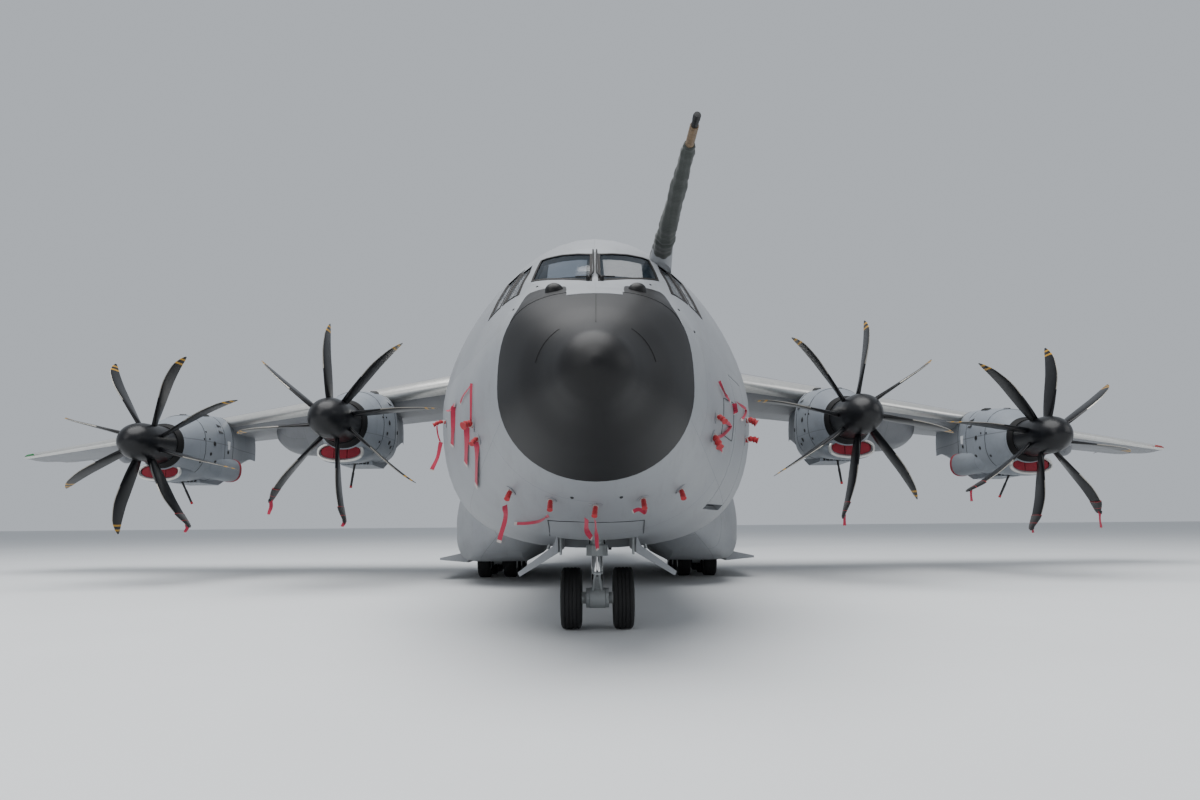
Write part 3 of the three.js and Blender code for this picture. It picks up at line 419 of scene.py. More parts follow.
def math_node(tree, operation, *values):
    return node(tree, "ShaderNodeMath", list(enumerate(values)), operation=operation).outputs[0]


def noise(tree, where, size_mm, detail=4.0, roughness=0.55):
    """Noise whose largest patches are about so many millimetres across on the model."""
    links = [("Vector", where), ("Scale", 1000 / size_mm), ("Detail", detail), ("Roughness", roughness)]
    return node(tree, "ShaderNodeTexNoise", links).outputs["Fac"]


def ramp(tree, value, low, high, from_low, from_high):
    """A colour between two, by where a value is between two others."""
    made = node(tree, "ShaderNodeValToRGB", [("Fac", value)])
    made.color_ramp.elements[0].position, made.color_ramp.elements[0].color = from_low, low
    made.color_ramp.elements[1].position, made.color_ramp.elements[1].color = from_high, high
    return made.outputs["Color"]


def multiplied(tree, factor, first, second):
    """Two colours multiplied, as far as the factor says."""
    links = [("Factor", factor), (6, first), (7, second)]
    return node(tree, "ShaderNodeMix", links, data_type="RGBA", blend_type="MULTIPLY").outputs[2]


def gloss_by(tree, principled, value, low, high):
    """Roughness that goes from low to high with a value."""
    rough = node(tree, "ShaderNodeMapRange", [("Value", value), ("To Min", low), ("To Max", high)])
    tree.links.new(rough.outputs[0], principled.inputs["Roughness"])


def bump_by(tree, principled, height, strength, distance):
    bump = node(tree, "ShaderNodeBump", [("Height", height), ("Strength", strength), ("Distance", distance)])
    tree.links.new(bump.outputs[0], principled.inputs["Normal"])


def shade(hex_colour, factor):
    colour = linear(hex_colour)
    return tuple(min(1.0, c * factor) for c in colour[:3]) + (1.0,)


def panelled_paint(name, colour, panel_mm, around, roughness=0.5):
    """Matt polyurethane sprayed over riveted panels: tone shifts from panel to panel, fine dark joints,
    faint dirt that runs and a soft, broad gloss."""
    material, tree, principled = finish(name)
    where = node(tree, "ShaderNodeTexCoord").outputs["Object"]
    axes = node(tree, "ShaderNodeSeparateXYZ", [(0, where)]).outputs
    if around:
        height = math_node(tree, "SUBTRACT", axes[2], 4.0 * SCALE)
        across = math_node(tree, "MULTIPLY", math_node(tree, "ARCTAN2", axes[0], height), 2.82 * SCALE)
    else:
        across = axes[0]
    flat = node(tree, "ShaderNodeCombineXYZ", [(0, axes[1]), (1, across), (2, 0.0)]).outputs[0]
    links = [("Vector", flat), ("Scale", 1.0), ("Mortar Size", 0.0022), ("Mortar Smooth", 0.4)]
    links += [("Color1", shade(colour, 0.94)), ("Color2", shade(colour, 1.05))]
    links += [("Mortar", shade(colour, 0.62)), ("Brick Width", panel_mm / 1000)]
    links += [("Row Height", panel_mm / 1700)]
    panels = node(tree, "ShaderNodeTexBrick", links, offset=0.37, squash=1.25, squash_frequency=3).outputs
    blotch = noise(tree, where, 900, 6.0, 0.6)
    stretched = node(tree, "ShaderNodeMapping", [("Vector", where), ("Scale", (2.2, 0.35, 0.8))]).outputs[0]
    streak = noise(tree, stretched, 160, 5.0, 0.65)
    tone = ramp(tree, blotch, (0.88, 0.88, 0.89, 1), (1.08, 1.08, 1.07, 1), 0.35, 0.68)
    grime = ramp(tree, streak, (1.0, 1.0, 1.0, 1), (0.83, 0.81, 0.78, 1), 0.52, 0.78)
    mixed = multiplied(tree, 0.7, multiplied(tree, 1.0, panels["Color"], tone), grime)
    tree.links.new(mixed, principled.inputs["Base Color"])
    gloss_by(tree, principled, blotch, roughness - 0.07, roughness + 0.1)
    joints = math_node(tree, "SUBTRACT", 1.0, panels["Fac"])
    ripple = noise(tree, where, 420, 2.0)
    height = math_node(tree, "ADD", joints, math_node(tree, "MULTIPLY", ripple, 0.9))
    bump_by(tree, principled, height, 0.35, 0.004)
    return material


def speckled(name, colour, size_mm, contrast=0.12, roughness=0.5, bump_mm=0.0, **shader):
    """A plain finish with soft changes of tone and gloss, and a grain where bump_mm is set."""
    material, tree, principled = finish(name, **shader)
    where = node(tree, "ShaderNodeTexCoord").outputs["Object"]
    grain = noise(tree, where, size_mm, 5.0, 0.6)
    tint = ramp(tree, grain, shade(colour, 1 - contrast), shade(colour, 1 + contrast), 0.32, 0.7)
    tree.links.new(tint, principled.inputs["Base Color"])
    gloss_by(tree, principled, grain, max(0.02, roughness - 0.06), min(1, roughness + 0.06))
    if bump_mm:
        bump_by(tree, principled, grain, 0.6, bump_mm / 1000)
    return material


def clear_glass(name, tint, roughness):
    """Laminated glazing: mostly clear, so that the boards behind it show, with a sharp reflection on top; its
    dark blue-grey base colour is a slight tint and also a painted reflection of the sky.
    """
    material, tree, principled = finish(name, IOR=1.5, Alpha=0.3)
    where = node(tree, "ShaderNodeTexCoord").outputs["Object"]
    smear = noise(tree, where, 120, 3.0)
    smeared = ramp(tree, smear, shade(tint, 0.9), shade(tint, 1.05), 0.3, 0.7)
    tree.links.new(smeared, principled.inputs["Base Color"])
    gloss_by(tree, principled, smear, roughness, roughness + 0.05)
    return material


def woven_cloth(name, colour, thread_mm, roughness=0.8, sheen=0.2):
    """Coated nylon or canvas: a fine square weave, drawn as coarse as it needs to show."""
    material, tree, principled = finish(name, Sheen_Weight=sheen)
    where = node(tree, "ShaderNodeTexCoord").outputs["Object"]
    worn = noise(tree, where, 90, 4.0)
    faded = ramp(tree, worn, shade(colour, 0.82), shade(colour, 1.12), 0.3, 0.72)
    tree.links.new(faded, principled.inputs["Base Color"])
    waves = []
    for direction in ("X", "Z"):
        links = [("Vector", where), ("Scale", 1000 / thread_mm / 6.3), ("Distortion", 0.6)]
        waves.append(node(tree, "ShaderNodeTexWave", links, bands_direction=direction).outputs["Fac"])
    weave = math_node(tree, "MULTIPLY", waves[0], waves[1])
    gloss_by(tree, principled, worn, roughness - 0.1, roughness)
    bump_by(tree, principled, weave, 0.5, 0.002)
    return material


class Finishes:
    """The plane's materials, made once from the paint settings."""

    made = {}

    @classmethod
    def get(cls, name):
        if not cls.made:
            cls.make(bpy.context.scene.plane_paint)
        return cls.made[name]

    @classmethod
    def several(cls, *names):
        return [cls.get(name) for name in names]

    @classmethod
    def make(cls, paint):
        dull, satin = {"Specular_IOR_Level": 0.3}, {"Specular_IOR_Level": 0.35}
        cls.made = {
            # Matt grey polyurethane over panels that run round the body: even, with fine dark joints.
            "fuselage": panelled_paint("matt_polyurethane_fuselage", paint.fuselage, 1900, True, 0.46),
            # The same paint on flat panels, slightly browner from exhaust and dust.
            "wing": panelled_paint("matt_polyurethane_wing", paint.wing, 1200, False, 0.5),
            "nacelle": panelled_paint("matt_polyurethane_nacelle", paint.nacelle, 620, True, 0.46),
            # Rain-erosion coating: near black, smooth, with a broad brownish gloss.
            "radome": speckled("rain_erosion_coating_black", paint.radome, 700, 0.15, 0.46, **dull),
            # Polished aluminium of the leading edges: bright, with soft streaks.
            "bare_metal": speckled("polished_aluminium", "#d7d6d2", 60, 0.06, 0.32, Metallic=0.85),
            # Carbon blades under satin paint: blue black with a clean highlight.
            "blade": speckled("satin_painted_carbon", paint.propeller, 240, 0.15, 0.32, **satin),
            "blade_edge": speckled("nickel_blade_edge", "#a9a59c", 50, 0.1, 0.36, Metallic=0.8),
            "band": speckled("yellow_enamel_band", paint.band, 60, 0.08, 0.42),
            "hub": speckled("matt_black_hub", "#0b0b0c", 80, 0.15, 0.6, Specular_IOR_Level=0.25),
            "frame": speckled("dark_brown_window_frame", "#0f0a08", 60, 0.15, 0.6, Specular_IOR_Level=0.2),
            # The glass's dark blue-grey base is a slight tint and also a painted reflection of the sky.
            "glass": clear_glass("laminated_windscreen", "#27343f", 0.02),
            "shade_blue": speckled("quilted_shade_blue_grey", "#7d8998", 40, 0.08, 0.75, 1.0),
            "shade_white": speckled("quilted_shade_white", "#dcdcdc", 40, 0.06, 0.75, 1.0),
            # Tread rubber: dark, dusty in its grain.
            "rubber": speckled("tyre_rubber", "#1c1c1d", 14, 0.25, 0.85, 0.6),
            "rim": speckled("wheel_enamel_pale_grey", "#b9bcbc", 60, 0.06, 0.4),
            "gear": speckled("gear_enamel_pale_grey", "#a4a8a9", 90, 0.08, 0.4),
            "chrome": speckled("chromed_piston", "#d9d9d9", 40, 0.04, 0.12, Metallic=1.0),
            "dark": speckled("black_epoxy_paint", "#101113", 60, 0.15, 0.5),
            "burnt": speckled("heat_stained_steel", "#4b3f37", 90, 0.3, 0.45, Metallic=0.7),
            # Near black inside the cowling's hollow and its intake and exhaust ducts: painted shade of these
            # recesses.
            "mesh": speckled("duct_inside_painted_shade", "#17181a", 40, 0.2, 0.6),
            # Inner faces of the fuselage walls: the lining grey darkened, as painted shade inside the closed
            # cabin.
            "cabin": speckled("cabin_lining_painted_shade", "#4b4d4c", 160, 0.08, 0.75),
            "lining": speckled("cabin_lining_grey", "#9a9d98", 160, 0.06, 0.7),
            "deck": speckled("worn_floor_panels", "#6c6e6b", 60, 0.18, 0.55),
            "cloth": woven_cloth("red_coated_nylon", paint.covers, 3.0, 0.72, 0.15),
            "ribbon": woven_cloth("crimson_streamer_cloth", "#a51a3c", 3.0, 0.75, 0.1),
            "plug": woven_cloth("quilted_crimson_plug", "#8a1026", 3.0, 0.75, 0.1),
            "plate": speckled("blank_white_placard", "#c9cccf", 40, 0.05, 0.5),
            "cloth_edge": woven_cloth("white_reflective_tape", "#b3aaa6", 3.0, 0.6, 0.0),
            "wrap": woven_cloth("olive_grey_canvas_wrap", "#313633", 5.0, 0.9, 0.2),
            "sleeve": speckled("brown_painted_sleeve", "#6f5d48", 18, 0.35, 0.5),
            "lamp": speckled("clear_lamp_lens", "#e6e8ea", 30, 0.03, 0.1, Transmission_Weight=0.4),
            "lamp_red": speckled("red_lamp_lens", "#8c1410", 30, 0.05, 0.15),
            "lamp_green": speckled("green_lamp_lens", "#0d6b34", 30, 0.05, 0.15),
            "sock": woven_cloth("black_padded_sock", "#16171a", 5.0, 0.85, 0.2),
            "seam": speckled("dark_joint_filler", "#2c2f33", 40, 0.1, 0.6),
            "floor": speckled("pale_studio_floor", "#cfd1d2", 2600, 0.02, 0.85),
        }


get = Finishes.get  # a finish by its key


# Fuselage sections


def fuselage_ring(y, inset=0.0, quarter=RING_QUARTER):
    """One ring of the fuselage at a station, taken in by a distance all round."""
    _, top, bottom, wide, half, crown, side, bilge = row_at(FUSELAGE, y)
    h, up, down = half - inset, top - inset - wide, wide - bottom - inset

    def arc(height, flat, steep):
        line = []
        for i in range(quarter):
            t = i / quarter
            s = 1 - t
            across = 3 * s * s * t * flat + 3 * s * t * t + t**3
            rise = s**3 + 3 * s * s * t + 3 * s * t * t * steep
            line.append((h * across, height * rise))
        return line

    upper, lower = arc(up, crown, side), arc(down, bilge, bilge)
    low_side = [(h, 0.0)] + lower[1:][::-1]
    high_side = [(h, 0.0)] + upper[1:][::-1]
    ring = [(u, y, wide + v) for u, v in upper]
    ring += [(u, y, wide - v) for u, v in low_side]
    ring += [(-u, y, wide - v) for u, v in lower]
    return ring + [(-u, y, wide + v) for u, v in high_side]


def fuselage_loft(stations, inset=0.0):
    return loft([fuselage_ring(y, inset) for y in stations])


# Stations that the skins, the paint patches and the glass share, so that their faces lie parallel.
RADOME_STATIONS = [0, 0.015, 0.06, 0.12] + steps(0.2, RADOME_END - 0.004, 30)
FORWARD_STATIONS = steps(RADOME_END, NOSE_END - END_GAP, 83)


def skin_layer(stations, proud, depth):
    """A thin layer of the fuselage's skin from a little above it to some way below it."""
    inner = [stations[0] - 0.1] + stations + [stations[-1] + 0.1]
    return carved(fuselage_loft(stations, -proud), fuselage_loft(inner, depth))


def skin_point(y, angle, proud=0.0):
    """A point on the skin at a station; the angle is from the crown, in degrees, towards port."""
    ring = [Vector(p) for p in fuselage_ring(y, 0.0, 24)]
    wide = row_at(FUSELAGE, y)[3]
    target = math.radians(angle)
    best = None
    for i, a in enumerate(ring):
        b = ring[(i + 1) % len(ring)]
        angles = [math.atan2(p.x, p.z - wide) for p in (a, b)]
        turn = (angles[1] - angles[0] + math.pi) % (2 * math.pi) - math.pi
        part = (target - angles[0] + math.pi) % (2 * math.pi) - math.pi
        if turn and 0 <= part / turn <= 1:
            best = a.lerp(b, part / turn)
            break
    if best is None:
        best = ring[0]
    out = Vector((best.x, 0, best.z - wide)).normalized()
    return best + out * proud


def skin_at(x, z_guess, y, proud=0.0):
    """The point of the skin at a station in the direction of a point beside the axis."""
    wide = row_at(FUSELAGE, y)[3]
    return skin_point(y, math.degrees(math.atan2(x, z_guess - wide)), proud)


# Cutting regions that several pieces share

WINDSCREEN = [(0.06, 4.762), (0.86, 4.925), (0.8, 5.53), (0.06, 5.414)]
# Columns: name, the axis it is cut along, its outline, and from where to where the cut goes.
PANES = [
    ("windscreen", "y", WINDSCREEN, 2.0, 4.0),
    ("side_window_front", "x", [(2.72, 4.69), (3.12, 4.67), (4.02, 5.42), (3.85, 5.5)], 0.95, 3),
    ("side_window_rear", "x", [(3.24, 4.66), (3.78, 4.63), (4.6, 5.42), (4.25, 5.52)], 0.95, 3),
]
# The board behind each windscreen pane, in front view.
SHADE = [(0.123, 4.92), (0.658, 4.93), (0.68, 5.39), (0.11, 5.34)]
# Columns: x, height and station.
WIPER_FOOT = (0.09, 4.75, 2.29)
WIPER_BLADE = [(0.05, 4.84, 2.42), (0.14, 4.83, 2.41), (0.26, 4.84, 2.43)]
CREW_HINGE = ((1.60838, 4.05, 1.94), (1.969, 5.05, 1.94))
CREW_DOOR_EDGE, CREW_DOOR_HEIGHT = 0.045, 1.85
CREW_DOOR_ROOM = 2.6 * CREW_DOOR_EDGE + PLAY  # radius of the groove that the hinged edge turns in
RAMP_START, DOOR_END = 24.4, 36.0
MEETING_Y, MEETING_Z, MEETING_SLOPE, MEETING_GAP = 29.8, 2.47, -0.36, 0.04
# Bays, and the walls round the nose gear's: from where to where across, along and up.
MAIN_BAY = ((2.36, 3.8), (16.5, 22.0), (0.0, 1.75))
NOSE_BAY = ((-0.56, 0.56), (4.0, 6.35), (0, 2.6))
NOSE_BAY_WALLS = ((-0.7, 0.7), (3.9, 6.45), (1.2, 2.7))
TAIL_HOLLOW_END = 37.4


def hinge_matrix(start, end):
    """A hinge's own frame: along it, aft of it and above it."""
    along = (Vector(end) - Vector(start)).normalized()
    up = along.cross(Vector((0, 1, 0))).normalized()
    aft = up.cross(along).normalized()
    matrix = Matrix((along, aft, up)).transposed().to_4x4()
    return Matrix.Translation(start) @ matrix, (Vector(end) - Vector(start)).length


def hinge_block(start, end, along, aft, above):
    return block(along, aft, above).moved(hinge_matrix(start, end)[0])


def crew_region(grow):
    length = hinge_matrix(*CREW_HINGE)[1]
    along = (PLAY - grow, length - PLAY + grow)
    return hinge_block(*CREW_HINGE, along, (-2, 0.9), (-CREW_DOOR_EDGE - grow, CREW_DOOR_HEIGHT + grow))


def meeting(z):
    """Where the ramp and the rear door meet, at a height."""
    return MEETING_Y + MEETING_SLOPE * (z - MEETING_Z)


def ramp_region(front, rear):
    outline = [
        (RAMP_START - front, -1),
        (meeting(-1) + rear, -1),
        (meeting(2.95 + rear) + rear, 2.95 + rear),
        (RAMP_START - front, 1.8 + rear),
    ]
    return prism("x", outline, -4, 4)


def door_plan(grow):
    half, end = 1.66 + grow, 1.0 + grow
    outline = [(-half, 29.0), (half, 29.0), (end, DOOR_END + 3 * grow), (-end, DOOR_END + 3 * grow)]
    return prism("z", outline, 0, 5.2)


def behind_meeting(gap):
    outline = [(meeting(-1) + gap, -1), (meeting(-1) + 12, -1), (meeting(6) + 12, 6), (meeting(6) + gap, 6)]
    return prism("x", outline, -4, 4)


def shell(start, end, count, inner_start=None):
    """A stretch of the fuselage's wall; the cabin is open at its ends, or starts at a place within it."""
    outside = fuselage_loft(steps(start, end, count))
    inner_start = start - 0.3 if inner_start is None else inner_start
    return carved(outside, fuselage_loft(steps(inner_start, end + 0.3, count), WALL).painted(1))


# Wing sections

WING_ROOT = 2.8
WING_LE_SLOPE, WING_LE_START = 0.3316, 14.65
ROOT_CHORD, TIP_CHORD = 8.0, 2.6
WING_ROOT_Z, WING_TIP_Z = 6.0, 4.21
WING_TIP = (21.75, 2.4, 0.12)  # front, chord and thickness of the last section, which rounds the wing off
# Columns: how far along the chord, then the height as a part of the thickness, from the upper trailing edge
# round the nose to the lower one.
WING_PROFILE = [
    (1, 0.02), (0.9, 0.16), (0.74, 0.36), (0.52, 0.55), (0.32, 0.6), (0.16, 0.52), (0.06, 0.36), (0.015, 0.2),
    (0, 0), (0.018, -0.16), (0.07, -0.3), (0.2, -0.4), (0.4, -0.38), (0.62, -0.22), (0.85, -0.06), (1, -0.02),
]  # fmt: skip
WING_CURVE = [(p.x, p.y) for p in curve_through([(c, h, 0) for c, h in WING_PROFILE], 4)]
# Columns: name, inner and outer end, place of the hinge along the chord, its height, then the nose's radius
# at the inner and the outer end.
TRAILING_PIECES = [
    ("flap_inner", 3.05, 9.2, 0.74, 0.1, 0.29, 0.22),
    ("flap_outer", 9.35, 15.3, 0.74, 0.1, 0.22, 0.153),
    ("aileron", 15.45, 20.6, 0.74, 0.11, 0.146, 0.09),
]
# Columns: distance out, half width, depth below the wing's middle, start along the chord.
HINGE_FAIRINGS = [(4.3, 0.22, 0.95, 0.42), (10.05, 1.15, 1.2, 0.16), (17.9, 0.2, 0.5, 0.45)]


def wing_section(x):
    """Front, chord, thickness and height of the wing at a distance out."""
    t = x / HALF_SPAN
    down = max(0.0, (x - WING_ROOT) / (HALF_SPAN - WING_ROOT))
    chord = ROOT_CHORD + (TIP_CHORD - ROOT_CHORD) * t
    return (
        WING_LE_START + WING_LE_SLOPE * x,
        chord,
        1.2 + (0.31 - 1.2) * t,
        WING_ROOT_Z + (WING_TIP_Z - WING_ROOT_Z) * down,
    )


def wing_ring(x, section=None):
    front, chord, thickness, z = section or wing_section(x)
    return [(x, front + c * chord, z + h * thickness) for c, h in WING_CURVE]


def wing_point(x, part, height):
    front, chord, thickness, z = wing_section(x)
    return (x, front + part * chord, z + height * thickness)


def hinged_surface(wing, start, end, nose_from, nose_to, reach):
    """A control surface with its round nose, and the wing without it."""
    matrix, length = hinge_matrix(start, end)
    turn = Matrix.Rotation(math.radians(90), 4, "Y")

    def region(along, front, grow):
        """What is behind the hinge along a stretch of it, with a round nose before it."""
        behind = block(along, (front, reach), (-reach, reach)).moved(matrix)
        nose = turned([(nose_from + grow, along[0]), (nose_to + grow, along[1])], 40)
        return carved(behind, nose.moved(matrix @ turn), "UNION")

    surface = carved(wing, region((PLAY, length - PLAY), 0, 0), "INTERSECT")
    return surface, carved(wing, region((0, length), -PLAY / 2, PLAY))


def bare_nose(curve, depth):
    """A loft's finishes: bare metal as far back as a part of the chord, paint elsewhere."""
    return lambda _, i: int(curve[i][0] < depth and curve[(i + 1) % len(curve)][0] < depth)


# Tail

# Columns: height, leading edge, chord, thickness.
FIN = [(6.3, 33.0, 9.4, 0.85), (14.25, 39.3, 4.6, 0.5)]
FIN_PROFILE = [(0, 0), (0.02, 0.2), (0.1, 0.42), (0.3, 0.5), (0.6, 0.36), (1, 0.02)]
FIN_BOTH_SIDES = [(c, -h, 0) for c, h in FIN_PROFILE[::-1]] + [(c, h, 0) for c, h in FIN_PROFILE[1:]]
FIN_CURVE = [(p.x, p.y) for p in curve_through(FIN_BOTH_SIDES, 4)]
TAILPLANE_Z = 14.3
# Columns: distance from the middle, leading edge, chord, thickness.
TAILPLANE = [(0, 39.6, 4.6, 0.5), (7.3, 42.9, 2.2, 0.24), (7.55, 43.25, 1.85, 0.1)]
# The ends of each hinge, the radius of the surface's nose at them, and how far the surface can reach from it.
RUDDER = ((0, 40.15, 7.3), (0, 42.4, 13.7), 0.216, 0.145, 5)
ELEVATOR = ((0.45, 42.95, TAILPLANE_Z), (7.2, 44.3, TAILPLANE_Z), 0.138, 0.085, 3)


# Sponsons and the hood over the wing

# Columns: y, half width outside, bottom, top.
SPONSON = [
    (13.0, 2.6, 1.35, 2.5), (13.5, 3.25, 0.95, 2.85), (14.3, 3.72, 0.7, 3.1), (15.6, 4.02, 0.58, 3.25),
    (22.6, 4.02, 0.58, 3.25), (24.2, 3.6, 0.8, 3.0), (26.0, 2.75, 1.45, 2.4),
]  # fmt: skip
SPONSON_DEPTH = 2.67  # height that the corner sizes belong to
# Columns: y, half width, height of its lower edge and of its top.
HOOD = [
    (12.4, 0.9, 6.6, 6.86), (13.4, 1.7, 6.3, 7.0), (14.8, 2.45, 5.95, 7.13), (16.2, 2.7, 5.8, 7.16),
    (21.8, 2.7, 5.8, 7.16), (23.6, 2.2, 6.1, 7.05), (25.4, 1.1, 6.6, 6.88),
]  # fmt: skip
HOOD_SIDE = [(1, 0), (0.96, 0.38), (0.82, 0.7), (0.5, 0.92), (0, 1)]


def sponson_ring(y):
    _, outer, bottom, top = row_at(SPONSON, y)
    k = (top - bottom) / SPONSON_DEPTH
    corners = [
        (2.0, bottom), (outer - 0.6 * k, bottom), (outer - 0.2 * k, bottom + 0.12 * k),
        (outer - 0.03, bottom + 0.45 * k), (outer, bottom + 0.8 * k), (outer, top - 1.4 * k),
        (outer - 0.12 * k, top - 0.8 * k), (outer - 0.45 * k, top - 0.3 * k), (outer - 1.0 * k, top),
    ]  # fmt: skip
    outside = curve_through([(u, 0, v) for u, v in corners], 3)
    return [(1.1, y, bottom + 0.85 * k)] + [(p.x, y, p.z) for p in outside] + [(1.1, y, top)]


# Wheels

MAIN_AXLES = [17.65, 19.2, 20.75]
MAIN_X, MAIN_RADIUS = 3.09, 0.545
NOSE_Y, NOSE_RADIUS = 5.1, 0.47
AXLE = 0.09


# A tyre's section from its bead to its tread: part of the radius, part of half the width.
TYRE_WALL = [(0.56, -0.84), (0.62, -0.97), (0.75, -1.0), (0.88, -0.96), (0.965, -0.84), (0.992, -0.72)]
# The edges of the tread's grooves, as parts of half the width, and how deep and how sloped a groove is.
TREAD = [-0.58, -0.5, -0.2, -0.12, 0.12, 0.2, 0.5, 0.58]
GROOVE = 0.012
# The rim's section, in the same parts as the tyre's.
RIM = [
    (0.0, -0.5), (0.2, -0.5), (0.22, -0.35), (0.4, -0.3), (0.47, -0.78), (0.57, -0.86),
    (0.575, 0.86), (0.47, 0.78), (0.4, 0.3), (0.22, 0.35), (0.2, 0.5), (0.0, 0.5),
]  # fmt: skip
HUB_CAP = [(0.1, 0), (0.1, 0.05), (0.07, 0.075), (0.0, 0.08)]
BOLT_CIRCLE, BOLT = 0.31, 0.014  # a part of the wheel's radius, and a radius


def wheel_pair(x, y, radius, middle, width, bolts):
    """Two tyres with grooved treads on dished rims, and the axle they share, turning about x."""
    half, deep = width / 2, radius - GROOVE
    tread = []
    for k, part in enumerate(TREAD):
        edge = (radius, part + (GROOVE if k % 2 else -GROOVE))
        tread += [(deep, part), edge] if k % 2 else [edge, (deep, part)]
    wall = [(r * radius, d) for r, d in TYRE_WALL]
    section = wall + tread + [(r, -d) for r, d in wall[::-1]]
    total = Shape()
    for sign in (-1, 1):
        centre = x + sign * middle
        start, end = (centre - half, y, radius), (centre + half, y, radius)
        rings = [[(r * math.cos(a), r * math.sin(a), half + d * half) for a in turns(88)] for r, d in section]
        total += loft(rings, "ringed").moved(frame_along(start, end))
        total += turned([(r * radius, half + d * half) for r, d in RIM], 48, start, end).painted(1)
        outer = centre + sign * 0.36 * half
        for a in turns(bolts):
            across, up = BOLT_CIRCLE * radius * math.cos(a), BOLT_CIRCLE * radius * math.sin(a)
            foot = (outer, y + across, radius + up)
            total += rod(foot, (outer + sign * 0.03, *foot[1:]), BOLT, sides=6).painted(2)
        cap = (centre + sign * 0.45 * half, y, radius)
        total += turned(HUB_CAP, 32, cap, (cap[0] + sign, y, radius)).painted(1)
    return total + rod((x - middle, y, radius), (x + middle, y, radius), AXLE).painted(1)


# Engines

# Columns: name, x, y and z of the propeller's middle, first blade's turn from upright in degrees, its hand.
ENGINES = [
    ("inner_left", 6.863, 13.237, 4.369, 9.7, 1),
    ("outer_left", 12.818, 15.179, 4.001, 10.1, -1),
    ("inner_right", -6.863, 13.237, 4.369, -6.9, 1),
    ("outer_right", -12.818, 15.179, 4.001, 16.9, -1),
]
# Columns: aft of the propeller, half width, top above and bottom below the propeller's middle.
NACELLE = [
    (0.36, 0.56, 0.56, 0.56), (0.8, 0.74, 0.78, 0.8), (1.5, 0.86, 1.04, 0.9), (2.6, 0.88, 1.19, 0.93),
    (3.6, 0.7, 1.25, 0.88), (4.6, 0.46, 1.2, 0.5), (5.8, 0.32, 1.1, 0.0), (6.6, 0.16, 1.0, -0.3),
]  # fmt: skip
# Columns: aft, middle outboard of the propeller's, middle above it, half width, half height.
CHIN = [
    (0.72, 0.13, -0.76, 0.6, 0.25), (0.86, 0.13, -0.76, 0.66, 0.29), (1.5, 0.13, -0.66, 0.7, 0.36),
    (2.5, 0.1, -0.5, 0.68, 0.42),
]  # fmt: skip
CHIN_DUCT = [(0.6, 0.13, -0.76, 0.55, 0.2), (1.7, 0.12, -0.62, 0.5, 0.22)]
EXHAUST = [(1.5, 0.4, -0.4, 0.2, 0.2), (2.3, 0.56, -0.49, 0.35, 0.37), (3.5, 0.68, -0.55, 0.36, 0.37)]
EXHAUST_HOLE = [(2.9, 0.64, -0.52, 0.28, 0.29), (3.7, 0.7, -0.56, 0.31, 0.32)]


DUCT_FULLNESS = 2.4


def round_ring(x, y, z, half, up, down, fullness, sides):
    """A ring between an ellipse and a rounded box; a fullness of 2 gives the ellipse."""
    ring = []
    for a in turns(sides):
        s, c = (math.copysign(abs(v) ** (2 / fullness), v) for v in (math.sin(a), math.cos(a)))
        ring.append((x + half * s, y, z + (up if c > 0 else down) * c))
    return ring


def nacelle_ring(aft, inset=0.0):
    _, half, up, down = row_at(NACELLE, aft)
    return round_ring(0, aft, 0, half - inset, up - inset, down - inset, 2 + min(0.6, aft / 4), 56)


def ducting(rows, side):
    rings = []
    for aft in steps(rows[0][0], rows[-1][0], 10):
        _, out, rise, half, high = row_at(rows, aft)
        rings.append(round_ring(side * out, aft, rise, half, high, high, DUCT_FULLNESS, 40))
    return loft(rings)


def duct_rings(x, z, rows, sides=48, fullness=DUCT_FULLNESS):
    """Rings about a duct's middle, from (aft, half width, half height) rows."""
    return [round_ring(x, aft, z, half, high, high, fullness, sides) for aft, half, high in rows]


def nacelle_shape(exhaust_side):
    """A left-hand engine's cowling about its propeller's middle: intake, exhaust bulge and cooler."""
    body = loft([nacelle_ring(aft) for aft in steps(0.36, 6.6, 34)])
    cooler = prism("x", [(2.1, -0.8), (2.3, -1.0), (3.5, -1.03), (4.1, -0.8)], -0.32, 0.6)
    for part in (ducting(CHIN, 1), ducting(EXHAUST, exhaust_side), cooler):
        body = carved(body, part, "UNION")
    # The hollow and the ducts take the near-black finish, painted shade of the cowling's insides.
    hollow = loft([nacelle_ring(aft, 0.1) for aft in steps(0.8, 3.6, 12)])
    body = carved(body, hollow.painted(1))
    for part in (ducting(CHIN_DUCT, 1), ducting(EXHAUST_HOLE, exhaust_side)):
        body = carved(body, part.painted(1))
    return body


BLADES = 8
# Columns: radius, chord, thickness, sweep of the middle back along the shaft, twist from edge-on in degrees.
BLADE = [
    (0.35, 0.26, 0.14, -0.3, 12), (1.0, 0.5, 0.09, -0.36, 7), (1.7, 0.6, 0.06, -0.4, 3),
    (2.25, 0.5, 0.04, -0.28, 0), (2.55, 0.28, 0.025, -0.09, -2), (2.68, 0.08, 0.015, 0.03, -3),
]  # fmt: skip
SPINNER = [(0, -1.35), (0.2, -1.29), (0.37, -1.12), (0.48, -0.9), (0.53, -0.6), (0.545, 0.33)]
# Along the chord, and half the thickness there, from the trailing edge round the nose.
BLADE_SECTION = [
    (0.5, 0.0), (0.32, 0.2), (0.1, 0.38), (-0.12, 0.48), (-0.28, 0.47), (-0.4, 0.36), (-0.47, 0.2),
    (-0.5, 0.0), (-0.47, -0.2), (-0.4, -0.36), (-0.28, -0.47), (-0.12, -0.48), (0.1, -0.38), (0.32, -0.2),
]  # fmt: skip


